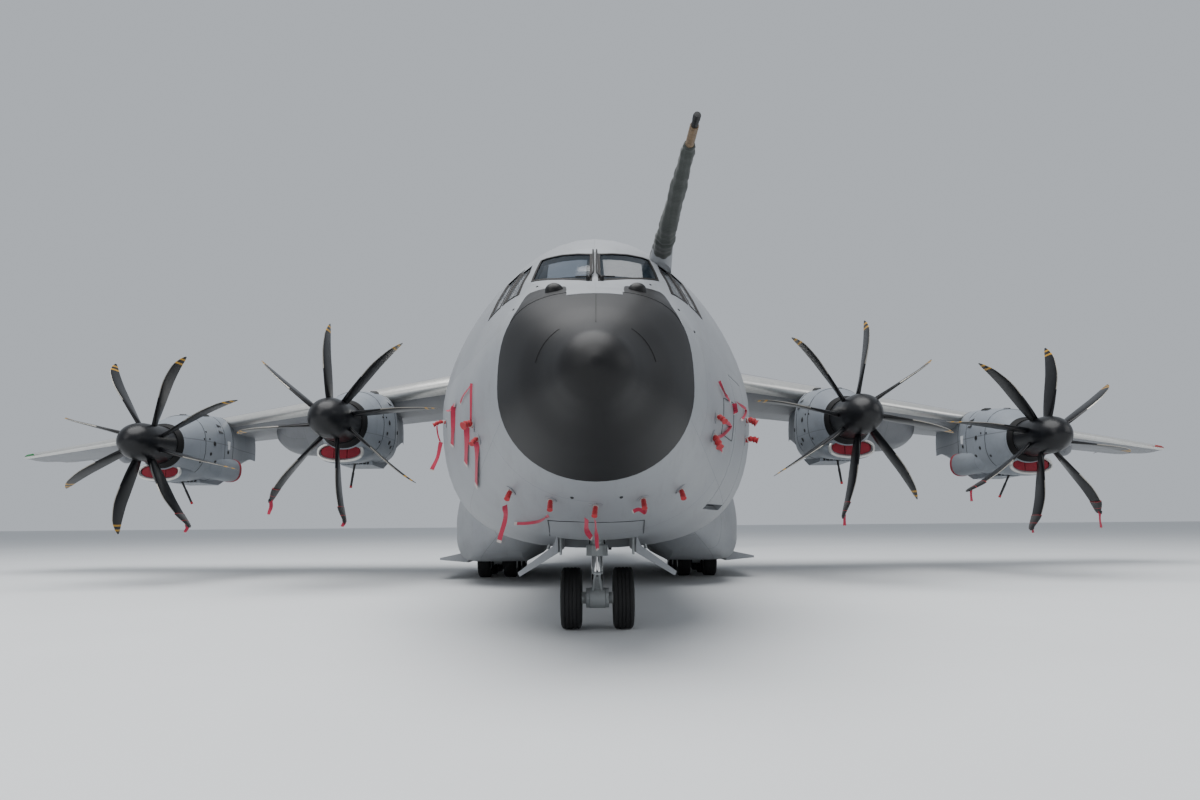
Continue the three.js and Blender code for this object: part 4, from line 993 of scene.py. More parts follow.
def blade_ring(r, section, hand, more=(0.0, 0.0), part=1.0):
    """A ring round a blade at a radius; more is added to its chord and thickness, and part scales both."""
    _, chord, thickness, sweep, twist = section
    a = hand * math.radians(twist)
    ring = []
    for c, t in BLADE_SECTION:
        aft, across = part * c * (chord + more[0]) + sweep, part * t * (thickness + more[1])
        ring.append((across * math.cos(a) + aft * math.sin(a), aft * math.cos(a) - across * math.sin(a), r))
    return ring


def blade_shape(hand, bands):
    """One blade that stands upright at the middle, edge-on as on a feathered propeller."""
    edges = {r for band in bands for r in band}
    radii = sorted(set(steps(0.35, 2.55, 26)) | edges | {2.6, 2.64, 2.668, 2.68})
    rings = [blade_ring(r, row_at(BLADE, r), hand) for r in radii]

    def finishes(r, i):
        middle = (radii[r] + radii[r + 1]) / 2
        if any(low < middle < high for low, high in bands):
            return 2
        return 1 if i in (6, 7) and middle > 1.3 else 0

    return loft(rings, finishes=finishes)


# What a user would change


def colour_setting(name, description, default):
    return bpy.props.StringProperty(name=name, description=description, default=default)


def number_setting(name, description, default, **more):
    return bpy.props.FloatProperty(name=name, description=description, default=default, **more)


class PlanePaint(bpy.types.PropertyGroup):
    """Colours, as sRGB hex values."""

    fuselage: colour_setting("Fuselage", "Grey of the fuselage", "#898c90")
    wing: colour_setting("Wing", "Grey of the wing and tail", "#84868a")
    nacelle: colour_setting("Nacelles", "Grey of the engine cowlings", "#7b8188")
    radome: colour_setting("Radome", "Black of the nose cone", "#0b0b0d")
    propeller: colour_setting("Blades", "Blue black of the blades", "#090a0e")
    band: colour_setting("Bands", "Yellow of the blades' bands", "#b98a1c")
    covers: colour_setting("Covers", "Red of covers and streamers", "#a31420")


class PlaneSizes(bpy.types.PropertyGroup):
    """Sizes on the full-size aircraft."""

    streamer_width: number_setting(
        "Streamer width", "Width of the red streamers", 0.06, unit="LENGTH", min=0.03, max=0.1
    )
    frame_width: number_setting("Window frame", "Width of the dark frame round a pane", 0.022, unit="LENGTH")
    band_width: number_setting("Blade band", "Width of a yellow band on a blade", 0.055, unit="LENGTH")


class PlaneStage(bpy.types.PropertyGroup):
    """The camera and the studio light."""

    lens: number_setting("Lens", "Focal length", 23.81, subtype="DISTANCE_CAMERA")
    pitch: number_setting("Pitch", "How far the camera looks up", math.radians(8.858), subtype="ANGLE")
    key_power: number_setting("Key light", "Power of the large light overhead", 12000.0, subtype="POWER")
    sky: number_setting("Sky", "Strength of the even light", 0.7, min=0.0, max=3.0)


# Operators: one for each piece or group of like pieces


class PLANE_OT_fuselage(bpy.types.Operator):
    """Radome and fuselage skins, with their windows, doorways and bays cut"""

    bl_idname = "plane.fuselage"
    bl_label = "Fuselage"

    def execute(self, context):
        radome = carved(fuselage_loft(RADOME_STATIONS), fuselage_loft(steps(0.62, 1.7, 8), 0.1))
        piece("nose_radome", radome, get("radome"), replaces=["radome"])

        forward = shell(RADOME_END, NOSE_END - END_GAP, 83, inner_start=2.0)
        for _, axis, outline, low, high in PANES:
            for _, sign in SIDES:
                forward = carved(forward, prism(axis, outline, low, high).on_side(sign))
        forward = carved(forward, crew_region(PLAY))
        # Room for the door's lower edge, which turns inwards about the hinge when the door swings down.
        forward = carved(forward, rod(*CREW_HINGE, CREW_DOOR_ROOM, sides=32))
        around = fuselage_loft(steps(3.8, 6.6, 12))
        bay_walls = carved(block(*NOSE_BAY_WALLS), around, "INTERSECT")
        forward = carved(carved(forward, bay_walls, "UNION"), block(*NOSE_BAY))
        # The walls' inner faces take the cabin finish, a darkened grey that paints the cabin's shade.
        paints = Finishes.several("fuselage", "cabin")
        piece("forward_skin", forward, paints, replaces=["forward_fuselage"])

        middle = shell(NOSE_END, HOLD_END - END_GAP, 14)
        for _, sign in SIDES:
            middle = carved(middle, block(*MAIN_BAY).on_side(sign))
        halves = [wing_ring(x) for x in (0.0, 1.5, WING_ROOT, 4.0)]
        wing_space = loft([[(-x, y, z) for x, y, z in ring] for ring in halves[1:][::-1]] + halves)
        middle = carved(middle, wing_space)
        piece("centre_skin", middle, paints, replaces=["centre_fuselage"])

        outside = fuselage_loft(steps(HOLD_END, TAIL_END, 54))
        rear = carved(outside, fuselage_loft(steps(HOLD_END - 0.3, TAIL_HOLLOW_END, 40), WALL).painted(1))
        rear = carved(rear, ramp_region(3 * PLAY, PLAY))
        rear = carved(rear, carved(door_plan(PLAY), behind_meeting(0.0), "INTERSECT"))
        piece("rear_skin", rear, paints, replaces=["rear_fuselage"])
        return {"FINISHED"}


class PLANE_OT_doors(bpy.types.Operator):
    """Crew door with its steps, loading ramp and rear cargo door"""

    bl_idname = "plane.doors"
    bl_label = "Doors"

    def execute(self, context):
        # The walls' inner faces take the cabin finish, a darkened grey that paints the cabin's shade.
        paints = Finishes.several("fuselage", "cabin")
        wall = shell(3.4, 5.8, 24)
        door = carved(wall, crew_region(0.0), "INTERSECT")
        length = hinge_matrix(*CREW_HINGE)[1]
        for height in steps(0.2, 1.5, 6):
            tread = hinge_block(*CREW_HINGE, (0.12, length - 0.12), (0.1, 0.36), (height, height + 0.03))
            door += tread.painted(1)
        piece("crew_door_panel", door, paints, "crew_door", ["crew_door"])

        outside = fuselage_loft(steps(24.0, 30.6, 40))
        ramp_solid = carved(outside, ramp_region(0.0, 0.0), "INTERSECT")
        piece("loading_ramp", ramp_solid, paints[0], "ramp", ["ramp"])
        wall = shell(28.0, 36.6, 44)
        door = carved(carved(wall, door_plan(0.0), "INTERSECT"), behind_meeting(MEETING_GAP), "INTERSECT")
        piece("rear_door", door, paints, "cargo_door", ["cargo_door"])
        return {"FINISHED"}


class PLANE_OT_glazing(bpy.types.Operator):
    """Windscreen and side panes with their dark frames, the wipers and the sun shades inside"""

    bl_idname = "plane.glazing"
    bl_label = "Glazing"

    def execute(self, context):
        width = context.scene.plane_sizes.frame_width
        stations = FORWARD_STATIONS[:48]
        glass_wall = skin_layer(stations, -0.008, 0.05)
        frame_wall = skin_layer(stations, 0.006, 0.02)
        frames = Shape()
        for name, axis, outline, low, high in PANES:
            pane = carved(glass_wall, prism(axis, outline, low, high), "INTERSECT")
            both_sides(f"{name}_pane", pane, get("glass"), stands_for=name)
            opening = prism(axis, grown(outline, -0.012), low - 1, high + 1)
            band = carved(prism(axis, grown(outline, width), low, high), opening)
            frames += carved(frame_wall, band, "INTERSECT")
        piece("window_frames", frames + frames.mirrored(), get("frame"))

        shade_wall = skin_layer(stations[4:40], -0.078, 0.09)
        board = carved(shade_wall, prism("y", SHADE, 2.1, 4.2), "INTERSECT")
        piece("sun_shade_left", board, get("shade_white"))
        piece("sun_shade_right", board.mirrored(), get("shade_blue"))

        # The wiper comes out of its spindle below the pane, hooks in to the centre post and lies along it.
        foot = [skin_at(*WIPER_FOOT, 0.03), skin_at(0.075, 4.8, 2.36, 0.04), skin_at(0.03, 4.86, 2.47, 0.04)]
        post = [skin_at(0.022, 5.2, y, 0.035) for y in (2.6, 2.8, 3.0, 3.28)]
        arm = tube_along(curve_through(foot + post, 6), 0.012, 8)
        arm += rod(skin_at(*WIPER_FOOT, -0.02), skin_at(*WIPER_FOOT, 0.05), 0.024, sides=16)
        blade = curve_through([skin_at(x, z, y, 0.018) for x, z, y in WIPER_BLADE], 6)
        arm += tube_along(blade, 0.009, 6)
        piece("wipers", arm + arm.mirrored(), get("hub"))
        return {"FINISHED"}


class PLANE_OT_wings(bpy.types.Operator):
    """Wings with flaps, ailerons, hinge fairings and the hood over the wing"""

    bl_idname = "plane.wings"
    bl_label = "Wings"

    def execute(self, context):
        tip = (*WING_TIP, wing_section(HALF_SPAN)[3])
        stations = [0.0004, 1.4, WING_ROOT] + steps(4.0, HALF_SPAN - 0.25, 9)
        rings = [wing_ring(x) for x in stations] + [wing_ring(HALF_SPAN, tip)]
        wing = loft(rings, finishes=bare_nose(WING_CURVE, 0.045))
        paints = Finishes.several("wing", "bare_metal")
        for name, inner, outer, part, height, nose_in, nose_out in TRAILING_PIECES:
            ends = (wing_point(inner, part, height), wing_point(outer, part, height))
            surface, wing = hinged_surface(wing, *ends, nose_in, nose_out, 4)
            both_sides(f"{name}_panel", surface, paints, name, name)
        fairings = joined(self.fairing(*columns) for columns in HINGE_FAIRINGS)
        both_sides("wing_panel", wing, paints, stands_for="wing")
        both_sides("hinge_fairings", fairings, get("wing"))
        rings = []
        for y in steps(HOOD[0][0], HOOD[-1][0], 40):
            _, half, low, top = row_at(HOOD, y)
            rings.append(arch([(u * half, low + v * (top - low)) for u, v in HOOD_SIDE], y))
        piece("wing_hood", loft(rings), get("fuselage"), replaces=["wing_fairing"])
        return {"FINISHED"}

    @staticmethod
    def fairing(x, half, depth, start):
        front, chord, _, z = wing_section(x)
        # Columns: along the fairing, part of its width, part of its depth.
        rows = [(0, 0.25, 0.25), (0.12, 0.6, 0.55), (0.35, 0.92, 0.88), (0.7, 1, 1), (1, 0.8, 0.82)]
        corners = [(1, 0), (0.97, 0.55), (0.8, 0.82), (0.45, 0.96), (0, 1)]
        low, high = start * chord, 0.65 * chord
        rings = []
        for t in steps(0, 1, 24):
            _, w, d = row_at(rows, t)
            rings.append(arch(corners, front + low + t * (high - low), x, w * half, z, -d * depth))
        return loft(rings)


class PLANE_OT_tail(bpy.types.Operator):
    """Fin and rudder, tailplane and elevators"""

    bl_idname = "plane.tail"
    bl_label = "Tail"

    def execute(self, context):
        paints = Finishes.several("wing", "bare_metal")
        rings = []
        for z in steps(FIN[0][0], FIN[1][0], 12):
            t = (z - FIN[0][0]) / (FIN[1][0] - FIN[0][0])
            front, chord, thick = (a + t * (b - a) for a, b in zip(FIN[0][1:], FIN[1][1:]))
            rings.append([(h * thick, front + c * chord, z) for c, h in FIN_CURVE])
        fin = loft(rings, finishes=bare_nose(FIN_CURVE, 0.03))
        rudder, fin = hinged_surface(fin, *RUDDER)
        piece("fin_panel", fin, paints, replaces=["fin"])
        piece("rudder_panel", rudder, paints, "rudder", ["rudder"])

        def ring(x, front, chord, thick):
            return [(x, front + c * chord, TAILPLANE_Z + h * thick) for c, h in FIN_CURVE]

        half = [ring(*TAILPLANE[0])]
        for t in steps(0.12, 1, 8):
            half.append(ring(*(a + t * (b - a) for a, b in zip(TAILPLANE[0], TAILPLANE[1]))))
        half.append(ring(*TAILPLANE[2]))
        whole = [[(-x, y, z) for x, y, z in r] for r in half[1:][::-1]] + half
        plane = loft(whole, finishes=bare_nose(FIN_CURVE, 0.03))
        elevator, plane = hinged_surface(plane, *ELEVATOR)
        _, plane = hinged_surface(plane.mirrored(), *ELEVATOR)
        piece("tailplane_panel", plane, paints, replaces=["tailplane"])
        both_sides("elevator_panel", elevator, paints, "elevator", "elevator")
        return {"FINISHED"}


class PLANE_OT_sponsons(bpy.types.Operator):
    """The fairings beside the main wheels, with their bays"""

    bl_idname = "plane.sponsons"
    bl_label = "Sponsons"

    def execute(self, context):
        body = loft([sponson_ring(y) for y in steps(SPONSON[0][0], SPONSON[-1][0], 48)])
        for tool in (
            block(*MAIN_BAY),
            block((0, 2.37), (RAMP_START - 0.2, 27), (0, 4)),
            fuselage_loft(steps(NOSE_END, 27.0, 30), -0.003),
        ):
            body = carved(body, tool)
        both_sides("sponson_shell", body, get("fuselage"), stands_for="sponson")
        return {"FINISHED"}


class PLANE_OT_wheels(bpy.types.Operator):
    """Main and nose wheels"""

    bl_idname = "plane.wheels"
    bl_label = "Wheels"

    def execute(self, context):
        finishes = Finishes.several("rubber", "rim", "chrome")
        pair = wheel_pair(MAIN_X, 0, MAIN_RADIUS, 0.4, 0.4, 9)
        for number, y in enumerate(MAIN_AXLES, 1):
            name = f"main_wheels_{number}"
            both_sides(f"tyres_{number}", pair.shifted(y=y), finishes, name, name)
        nose = wheel_pair(0, NOSE_Y, NOSE_RADIUS, 0.405, 0.33, 8)
        piece("nose_tyres", nose, finishes, "nose_wheels", ["nose_wheels"])
        return {"FINISHED"}


class PLANE_OT_engines(bpy.types.Operator):
    """Engine cowlings with chin intakes, exhausts and coolers"""

    bl_idname = "plane.engines"
    bl_label = "Engine cowlings"

    def execute(self, context):
        finishes = Finishes.several("nacelle", "mesh")
        shapes = {"inner": nacelle_shape(1), "outer": nacelle_shape(-1)}
        for name, x, y, z, _, _ in ENGINES:
            shape = shapes[name.split("_")[0]].on_side(1 if x > 0 else -1).shifted(x, y, z)
            piece(f"cowling_{name}", shape, finishes, replaces=[f"nacelle_{name}"])
        return {"FINISHED"}


class PLANE_OT_propellers(bpy.types.Operator):
    """Eight-bladed propellers with their spinners"""

    bl_idname = "plane.propellers"
    bl_label = "Propellers"

    def execute(self, context):
        width = context.scene.plane_sizes.band_width
        bands = [(2.4, 2.4 + width), (2.54, 2.54 + width)]
        finishes = Finishes.several("blade", "blade_edge", "band", "hub")
        middle, aft = (0, 0, 0), (0, 1, 0)
        table = [(d, r) for r, d in SPINNER]
        profile = [row_at(table, d)[::-1] for d in steps(table[0][0], table[-1][0], 40)]
        spinner = turned(profile, 72, middle, aft)
        shaft = turned([(0.16, 0.3), (0.16, 0.7)], 32, middle, aft).painted(3)
        for name, x, y, z, phase, hand in ENGINES:
            blade = blade_shape(hand, bands)
            shape = spinner + shaft
            for k in range(BLADES):
                turn = Matrix.Rotation(math.radians(phase + 360 / BLADES * k), 4, "Y")
                shape += blade.moved(turn)
            name = f"propeller_{name}"
            piece(f"{name}_blades", shape.shifted(x, y, z), finishes, name, [name], crease=40)
        return {"FINISHED"}


class PLANE_OT_nose_fittings(bpy.types.Operator):
    """Domes, black paint and vents round the radome, and the air-data probes with their red covers"""

    bl_idname = "plane.nose_fittings"
    bl_label = "Nose fittings"

    def execute(self, context):
        # The black paint runs back round each dome; between the domes the grey reaches forward over the cone.
        wall = skin_layer([RADOME_END - 0.02] + FORWARD_STATIONS[:12], 0.005, 0.012)
        edge = [(p.x, p.z) for p in curve_through([(x, 0, z) for x, z in BLACK_PAINT], 3)]
        region = prism("y", edge + [(0.353, 4.3), (1.0, 3.7)], RADOME_END - 0.02, 2.6)
        black = carved(wall, region, "INTERSECT")
        piece("radome_tongues", black + black.mirrored(), get("radome"))
        wall = skin_layer([y for y in RADOME_STATIONS if y > 1.3] + [RADOME_END + 0.03], 0.005, 0.012)
        notch = prism("z", [(-0.343, 1.457), (0.329, 1.457), (0.329, 1.7), (-0.343, 1.7)], 4.0, 5.0)
        piece("radome_notch", carved(wall, notch, "INTERSECT"), get("fuselage"))

        domes = Shape()
        for x in (-0.495, 0.51):
            profile = [(0.117 * math.cos(a), 0.1 * math.sin(a)) for a in steps(0.0, math.pi / 2, 12)]
            foot = skin_at(x, 4.45, 1.87, -0.005)
            domes += turned([(0.118, -0.05)] + profile, 36, foot, foot + Vector((0, -0.3, 1)))
        piece("sensor_domes", domes, get("radome"))

        vents = Shape()
        for x, z, y, radius in NOSE_VENTS:
            vents += disc(skin_at(x, z, y), (x, -0.9, z - NOSE_AXIS), radius, 0.008)
        piece("nose_vents", vents, get("dark"))

        plates, covers, edges = Shape(), Shape(), Shape()
        for root, tip, radius, crumple in AIR_PROBES:
            foot = skin_at(root[0], root[2], root[1])
            out = Vector((foot.x, -0.4, foot.z - NOSE_AXIS)).normalized()
            plates += disc(foot, out, 0.085, 0.006)
            middle = foot.lerp(Vector(tip), 0.5) + Vector((0, 0, 0.15 * crumple))
            line = curve_through([foot, middle, tip], 6)
            radii = [radius * (0.85 + 0.02 * i + crumple * math.sin(1.9 * i + 4)) for i in range(len(line))]
            covers += tube_along(line, radii, 18)
            edges += tube_along(line[2:4], radius * 1.12, 18)
        piece("probe_plates", plates, get("wing"))
        piece("probe_covers", covers, get("cloth"))
        piece("probe_cover_bands", edges, get("cloth_edge"))
        return {"FINISHED"}


NOSE_AXIS = 3.2  # height of the radome's tip
# Columns: x, height and station of a vent behind the radome, and its radius.
NOSE_VENTS = [
    (-0.3, 1.94, 2.08, 0.022), (0.3, 1.94, 2.08, 0.022), (-1.0, 4.25, 1.95, 0.018),
    (1.05, 4.27, 2.0, 0.018), (1.25, 4.0, 2.05, 0.018), (-0.76, 4.72, 2.5, 0.016), (0.72, 4.72, 2.5, 0.016),
]  # fmt: skip
# Columns: where a probe or vane stands on the skin, the tip of its red cover, then the cover's radius
# and how far it is crumpled.
AIR_PROBES = [
    ((-1.12, 2.76, 2.06), (-1.16, 2.63, 1.94), 0.034, 0.06),
    ((-0.58, 2.32, 1.92), (-0.58, 2.19, 1.79), 0.033, 0.06),
    ((-0.01, 2.26, 1.84), (-0.03, 2.13, 1.71), 0.033, 0.06),
    ((0.58, 2.31, 1.93), (0.59, 2.18, 1.8), 0.033, 0.06),
    ((1.1, 2.72, 2.05), (1.12, 2.59, 1.93), 0.034, 0.06),
    ((-1.64, 2.8, 2.92), (-1.75, 2.67, 2.9), 0.044, 0.2),
    ((-1.55, 2.69, 2.73), (-1.62, 2.56, 2.65), 0.03, 0.15),
    ((1.58, 2.63, 2.98), (1.67, 2.5, 2.91), 0.034, 0.2),
    ((1.54, 2.66, 2.74), (1.6, 2.53, 2.58), 0.042, 0.2),
    ((-2.43, 5.1, 3.26), (-2.63, 5.05, 3.21), 0.03, 0.2),
    ((2.43, 5.1, 3.25), (2.6, 5.05, 3.2), 0.05, 0.2), ((2.43, 5.1, 2.92), (2.61, 5.05, 2.92), 0.045, 0.2),
]  # fmt: skip

# The edge of the black paint behind the radome in front view, from its side to its inner end.
BLACK_PAINT = [
    (1.083, 3.82), (1.01, 4.07), (0.938, 4.242), (0.924, 4.473), (0.87, 4.6), (0.786, 4.625),
    (0.637, 4.637), (0.45, 4.615), (0.374, 4.58), (0.353, 4.458),
]  # fmt: skip


# Columns: name, its width as a part of the set one, then the points it runs through.
# fmt: off
STREAMERS = [
    ("left_1", 0.55, ((-1.64, 2.77, 3.48), (-1.62, 2.68, 3.19), (-1.64, 2.8, 2.93))),
    ("left_2", 1.5, ((-1.71, 2.99, 2.94), (-1.76, 3.24, 2.73), (-1.84, 3.67, 2.46))),
    ("left_3", 1.25, ((-2.08, 3.95, 3.35), (-2.09, 4.01, 3.06), (-2.16, 4.31, 2.79))),
    ("left_4", 1.2, ((-2.28, 4.57, 3.38), (-2.17, 4.24, 3.36), (-2.05, 3.88, 3.37))),
    ("left_5", 0.6, ((-1.64, 2.77, 3.46), (-1.82, 3.23, 3.39), (-1.9, 3.43, 3.31))),
    ("left_6", 1.4, ((-1.55, 2.69, 2.74), (-1.57, 2.91, 2.56), (-1.7, 3.71, 2.15))),
    ("left_7", 1.15, ((-1.19, 2.68, 1.86), (-1.22, 2.95, 1.68), (-1.29, 3.0, 1.38))),
    ("left_8", 0.7, (
        (-0.6, 2.3, 1.72), (-0.7, 2.75, 1.68), (-0.81, 3.2, 1.65),
        (-0.98, 3.5, 1.63), (-1.17, 3.8, 1.63),
    )),
    ("left_side", 0.4, ((-2.57, 5.05, 3.2), (-2.56, 5.03, 3.08), (-2.49, 5.03, 2.93))),
    ("left_side_tag", 1.15, ((-2.49, 5.0, 2.93), (-2.55, 5.0, 2.68), (-2.62, 5.0, 2.47))),
    ("middle_1", 0.85, ((-0.02, 2.2, 1.66), (-0.01, 2.6, 1.48), (0.02, 2.8, 1.28))),
    ("middle_2", 1.2, ((-0.13, 2.4, 1.68), (-0.13, 2.6, 1.53), (-0.05, 2.7, 1.43))),
    ("right_1", 0.6, ((1.62, 2.73, 3.48), (1.72, 2.94, 3.37), (1.87, 3.35, 3.29))),
    ("right_2", 1.2, ((1.96, 3.6, 3.31), (1.98, 3.65, 3.24), (2.0, 3.71, 3.18))),
    ("right_3", 0.65, (
        (2.06, 3.89, 3.38), (2.22, 4.38, 3.39), (2.36, 4.84, 3.4),
        (2.31, 4.67, 3.29), (2.17, 4.25, 3.15),
    )),
    ("right_4", 0.9, (
        (1.6, 2.68, 2.99), (1.7, 2.94, 2.98), (1.85, 3.34, 2.96),
        (1.67, 2.96, 2.79), (1.54, 2.68, 2.74),
    )),
    ("right_5", 1.3, ((1.53, 2.64, 2.73), (1.62, 2.92, 2.67), (1.72, 3.23, 2.61))),
    ("right_6", 0.8, ((0.61, 2.3, 1.79), (0.6, 2.4, 1.75), (0.53, 2.35, 1.79), (0.46, 2.4, 1.76))),
]
# fmt: on


class PLANE_OT_streamers(bpy.types.Operator):
    """Red cloth streamers on the nose, each a strip that hangs clear of the skin"""

    bl_idname = "plane.streamers"
    bl_label = "Streamers"

    def execute(self, context):
        width = context.scene.plane_sizes.streamer_width
        for name, part, through in STREAMERS:
            hang_streamer(f"streamer_{name}", through, width * part, AIRFRAME)
        return {"FINISHED"}


def hang_streamer(name, through, width, body, clear=True, wave=0.012):
    """A strip of red cloth that runs through some points, rippled a little, with a pale hem at its end."""
    path = curve_through(through, 18 // (len(through) - 1))
    points, normals = [], []
    for i, point in enumerate(path):
        t = i / (len(path) - 1)
        point = point + Vector((math.sin(5.2 * t) * t, -math.sin(7.5 * t + 1.0), 0)) * wave
        if clear:
            wide = row_at(FUSELAGE, point.y)[3]
            skin = skin_at(point.x, point.z, point.y)
            away = Vector((point.x, 0, point.z - wide))
            least = Vector((skin.x, 0, skin.z - wide)).length + 0.03
            if away.length < least:
                away = away.normalized() * least
                point = Vector((away.x, point.y, away.z + wide))
        points.append(point)
        lean = 0.5 * math.sin(3.1 * t + len(name))
        normals.append(Vector((lean, -1.0, 0.15)))
    shape = strip(points, normals, width, 0.0016)
    hem = strip(points[-2:], normals[-2:], width * 1.02, 0.0024).painted(1)
    made = piece(name, shape + hem, Finishes.several("ribbon", "cloth_edge"), body)
    length = sum((b - a).length for a, b in zip(points, points[1:]))
    return made


# The refuelling probe's middle line and radius, from its foot in the skin to its tip.
PROBE = [
    (0.985, 4.1, 5.5, 0.13), (1.016, 4.0, 5.701, 0.16), (1.04, 3.61, 5.777, 0.15),
    (1.063, 3.225, 5.854, 0.133), (1.11, 2.45, 6.006, 0.115), (1.158, 1.675, 6.158, 0.092),
    (1.181, 1.288, 6.234, 0.06), (1.205, 0.9, 6.31, 0.05),
]  # fmt: skip


class PLANE_OT_probe(bpy.types.Operator):
    """The refuelling probe in its canvas wrap, with a painted sleeve and a black tip"""

    bl_idname = "plane.probe"
    bl_label = "Refuelling probe"

    def execute(self, context):
        chance = random.Random(7)
        line = curve_through([row[:3] for row in PROBE], 12)
        radii = [p.x for p in curve_through([(row[3], 0, 0) for row in PROBE], 12)]
        first_wrapped, last_wrapped, sides = 10, 67, 40
        middle, wrap_radii = line[first_wrapped : last_wrapped + 1], []
        for i, radius in enumerate(radii[first_wrapped : last_wrapped + 1]):
            lump = 0.007 * math.sin(0.5 * i) + 0.004 * math.sin(1.7 * i + 1.0)
            tie = -0.01 if i in (4, 5, 17, 30, 43, 55) else 0.0
            wrap_radii.append(radius - 0.002 + lump + tie)
        wrap = tube_along(middle, wrap_radii, sides)
        points = []
        for k, p in enumerate(wrap.points):
            ring, place = divmod(k, sides)
            pleat = math.sin(7 * turns(sides)[place] + 0.35 * ring)
            fold = 1 + 0.035 * pleat + chance.uniform(-0.012, 0.012)
            points.append(middle[ring] + (Vector(p) - middle[ring]) * fold)
        wrap = Shape(points, wrap.faces, wrap.finishes)
        sleeve = tube_along(line[last_wrapped - 2 : last_wrapped + 12], 0.055, 28).painted(1)
        nozzle = tube_along(line[last_wrapped + 11 : -1], 0.043, 28).painted(2)
        tip = line[-1]
        way = (line[-1] - line[-4]).normalized()
        head = [(0.04, -0.1), (0.047, -0.09), (0.047, -0.02), (0.04, -0.002), (0.0, 0.0)]
        cap = turned(head, 32, tip, tip + way).painted(2)
        foot = []
        for t in steps(0, 1, 9):
            centre = Vector((0.985, 4.22, 5.46)).lerp(Vector((1.03, 3.84, 5.74)), t)
            half, deep = 0.2 - 0.045 * t, 0.3 - 0.13 * t
            ring = [(half * math.cos(a), deep * math.sin(a)) for a in turns(36)]
            foot.append([(centre.x + u, centre.y + v, centre.z - 0.25 * v) for u, v in ring])
        pedestal = loft(foot).painted(3)
        strap = tube_along(line[8:12], radii[9] + 0.012, 36).painted(2)
        finishes = Finishes.several("wrap", "sleeve", "dark", "fuselage")
        shape = joined([wrap, sleeve, nozzle, cap, pedestal, strap])
        piece("wrapped_probe", shape, finishes, replaces=["refuelling_probe"])
        return {"FINISHED"}


def nacelle_point(aft, angle, proud=0.0):
    """A point on a left-hand cowling, about its propeller's middle, and the way out of it there.

    The angle is from the top towards outboard.
    """
    target = math.radians(angle) % (2 * math.pi)

    def off(point):
        return abs((math.atan2(point.x, point.z) - target + math.pi) % (2 * math.pi) - math.pi)

    best = min((Vector(p) for p in nacelle_ring(aft)), key=off)
    out = Vector((best.x, 0, best.z)).normalized()
    return best + out * proud, out


# Columns: aft of the propeller, half width and half height of the rings round the intake's lip.
LIP = [
    (0.76, 0.64, 0.28), (0.71, 0.635, 0.275), (0.68, 0.61, 0.25),
    (0.68, 0.58, 0.225), (0.71, 0.555, 0.203), (0.76, 0.55, 0.2),
]  # fmt: skip
EXHAUST_RIM = [(3.4, 0.325, 0.335), (3.53, 0.325, 0.335), (3.53, 0.308, 0.318), (3.4, 0.308, 0.318)]
# Columns: aft of the propeller, then how far the cover's sleeve stands off the rim.
EXHAUST_SLEEVE = [(3.42, 0.01), (3.44, 0.035), (3.54, 0.045), (3.59, 0.02), (3.59, 0.0), (3.42, 0.0)]
# Columns: aft of the propeller, first and last angle of a seam from the top, and its width.
COWLING_SEAMS = [(1.42, -170, 170, 0.012), (2.62, -175, 175, 0.012), (3.55, -120, 120, 0.022)]
# Columns: aft of the propeller, angle from the top towards outboard, and radius of a vent.
COWLING_VENTS = [
    (1.75, -98, 0.055), (2.1, -112, 0.07), (1.95, -76, 0.075), (2.9, -95, 0.06), (1.3, -120, 0.04),
    (2.35, -120, 0.05), (1.6, 100, 0.05), (2.2, 84, 0.06), (2.8, 110, 0.05), (1.35, -70, 0.03),
    (1.5, -60, 0.03), (1.65, -70, 0.03), (1.1, 60, 0.035), (2.4, 60, 0.04),
]  # fmt: skip


def plate_on(middle, out, half, width, thick):
    """A flat plate about a point; half is half its length, as a vector."""
    return strip([middle - half, middle + half], [out, out], width, thick)


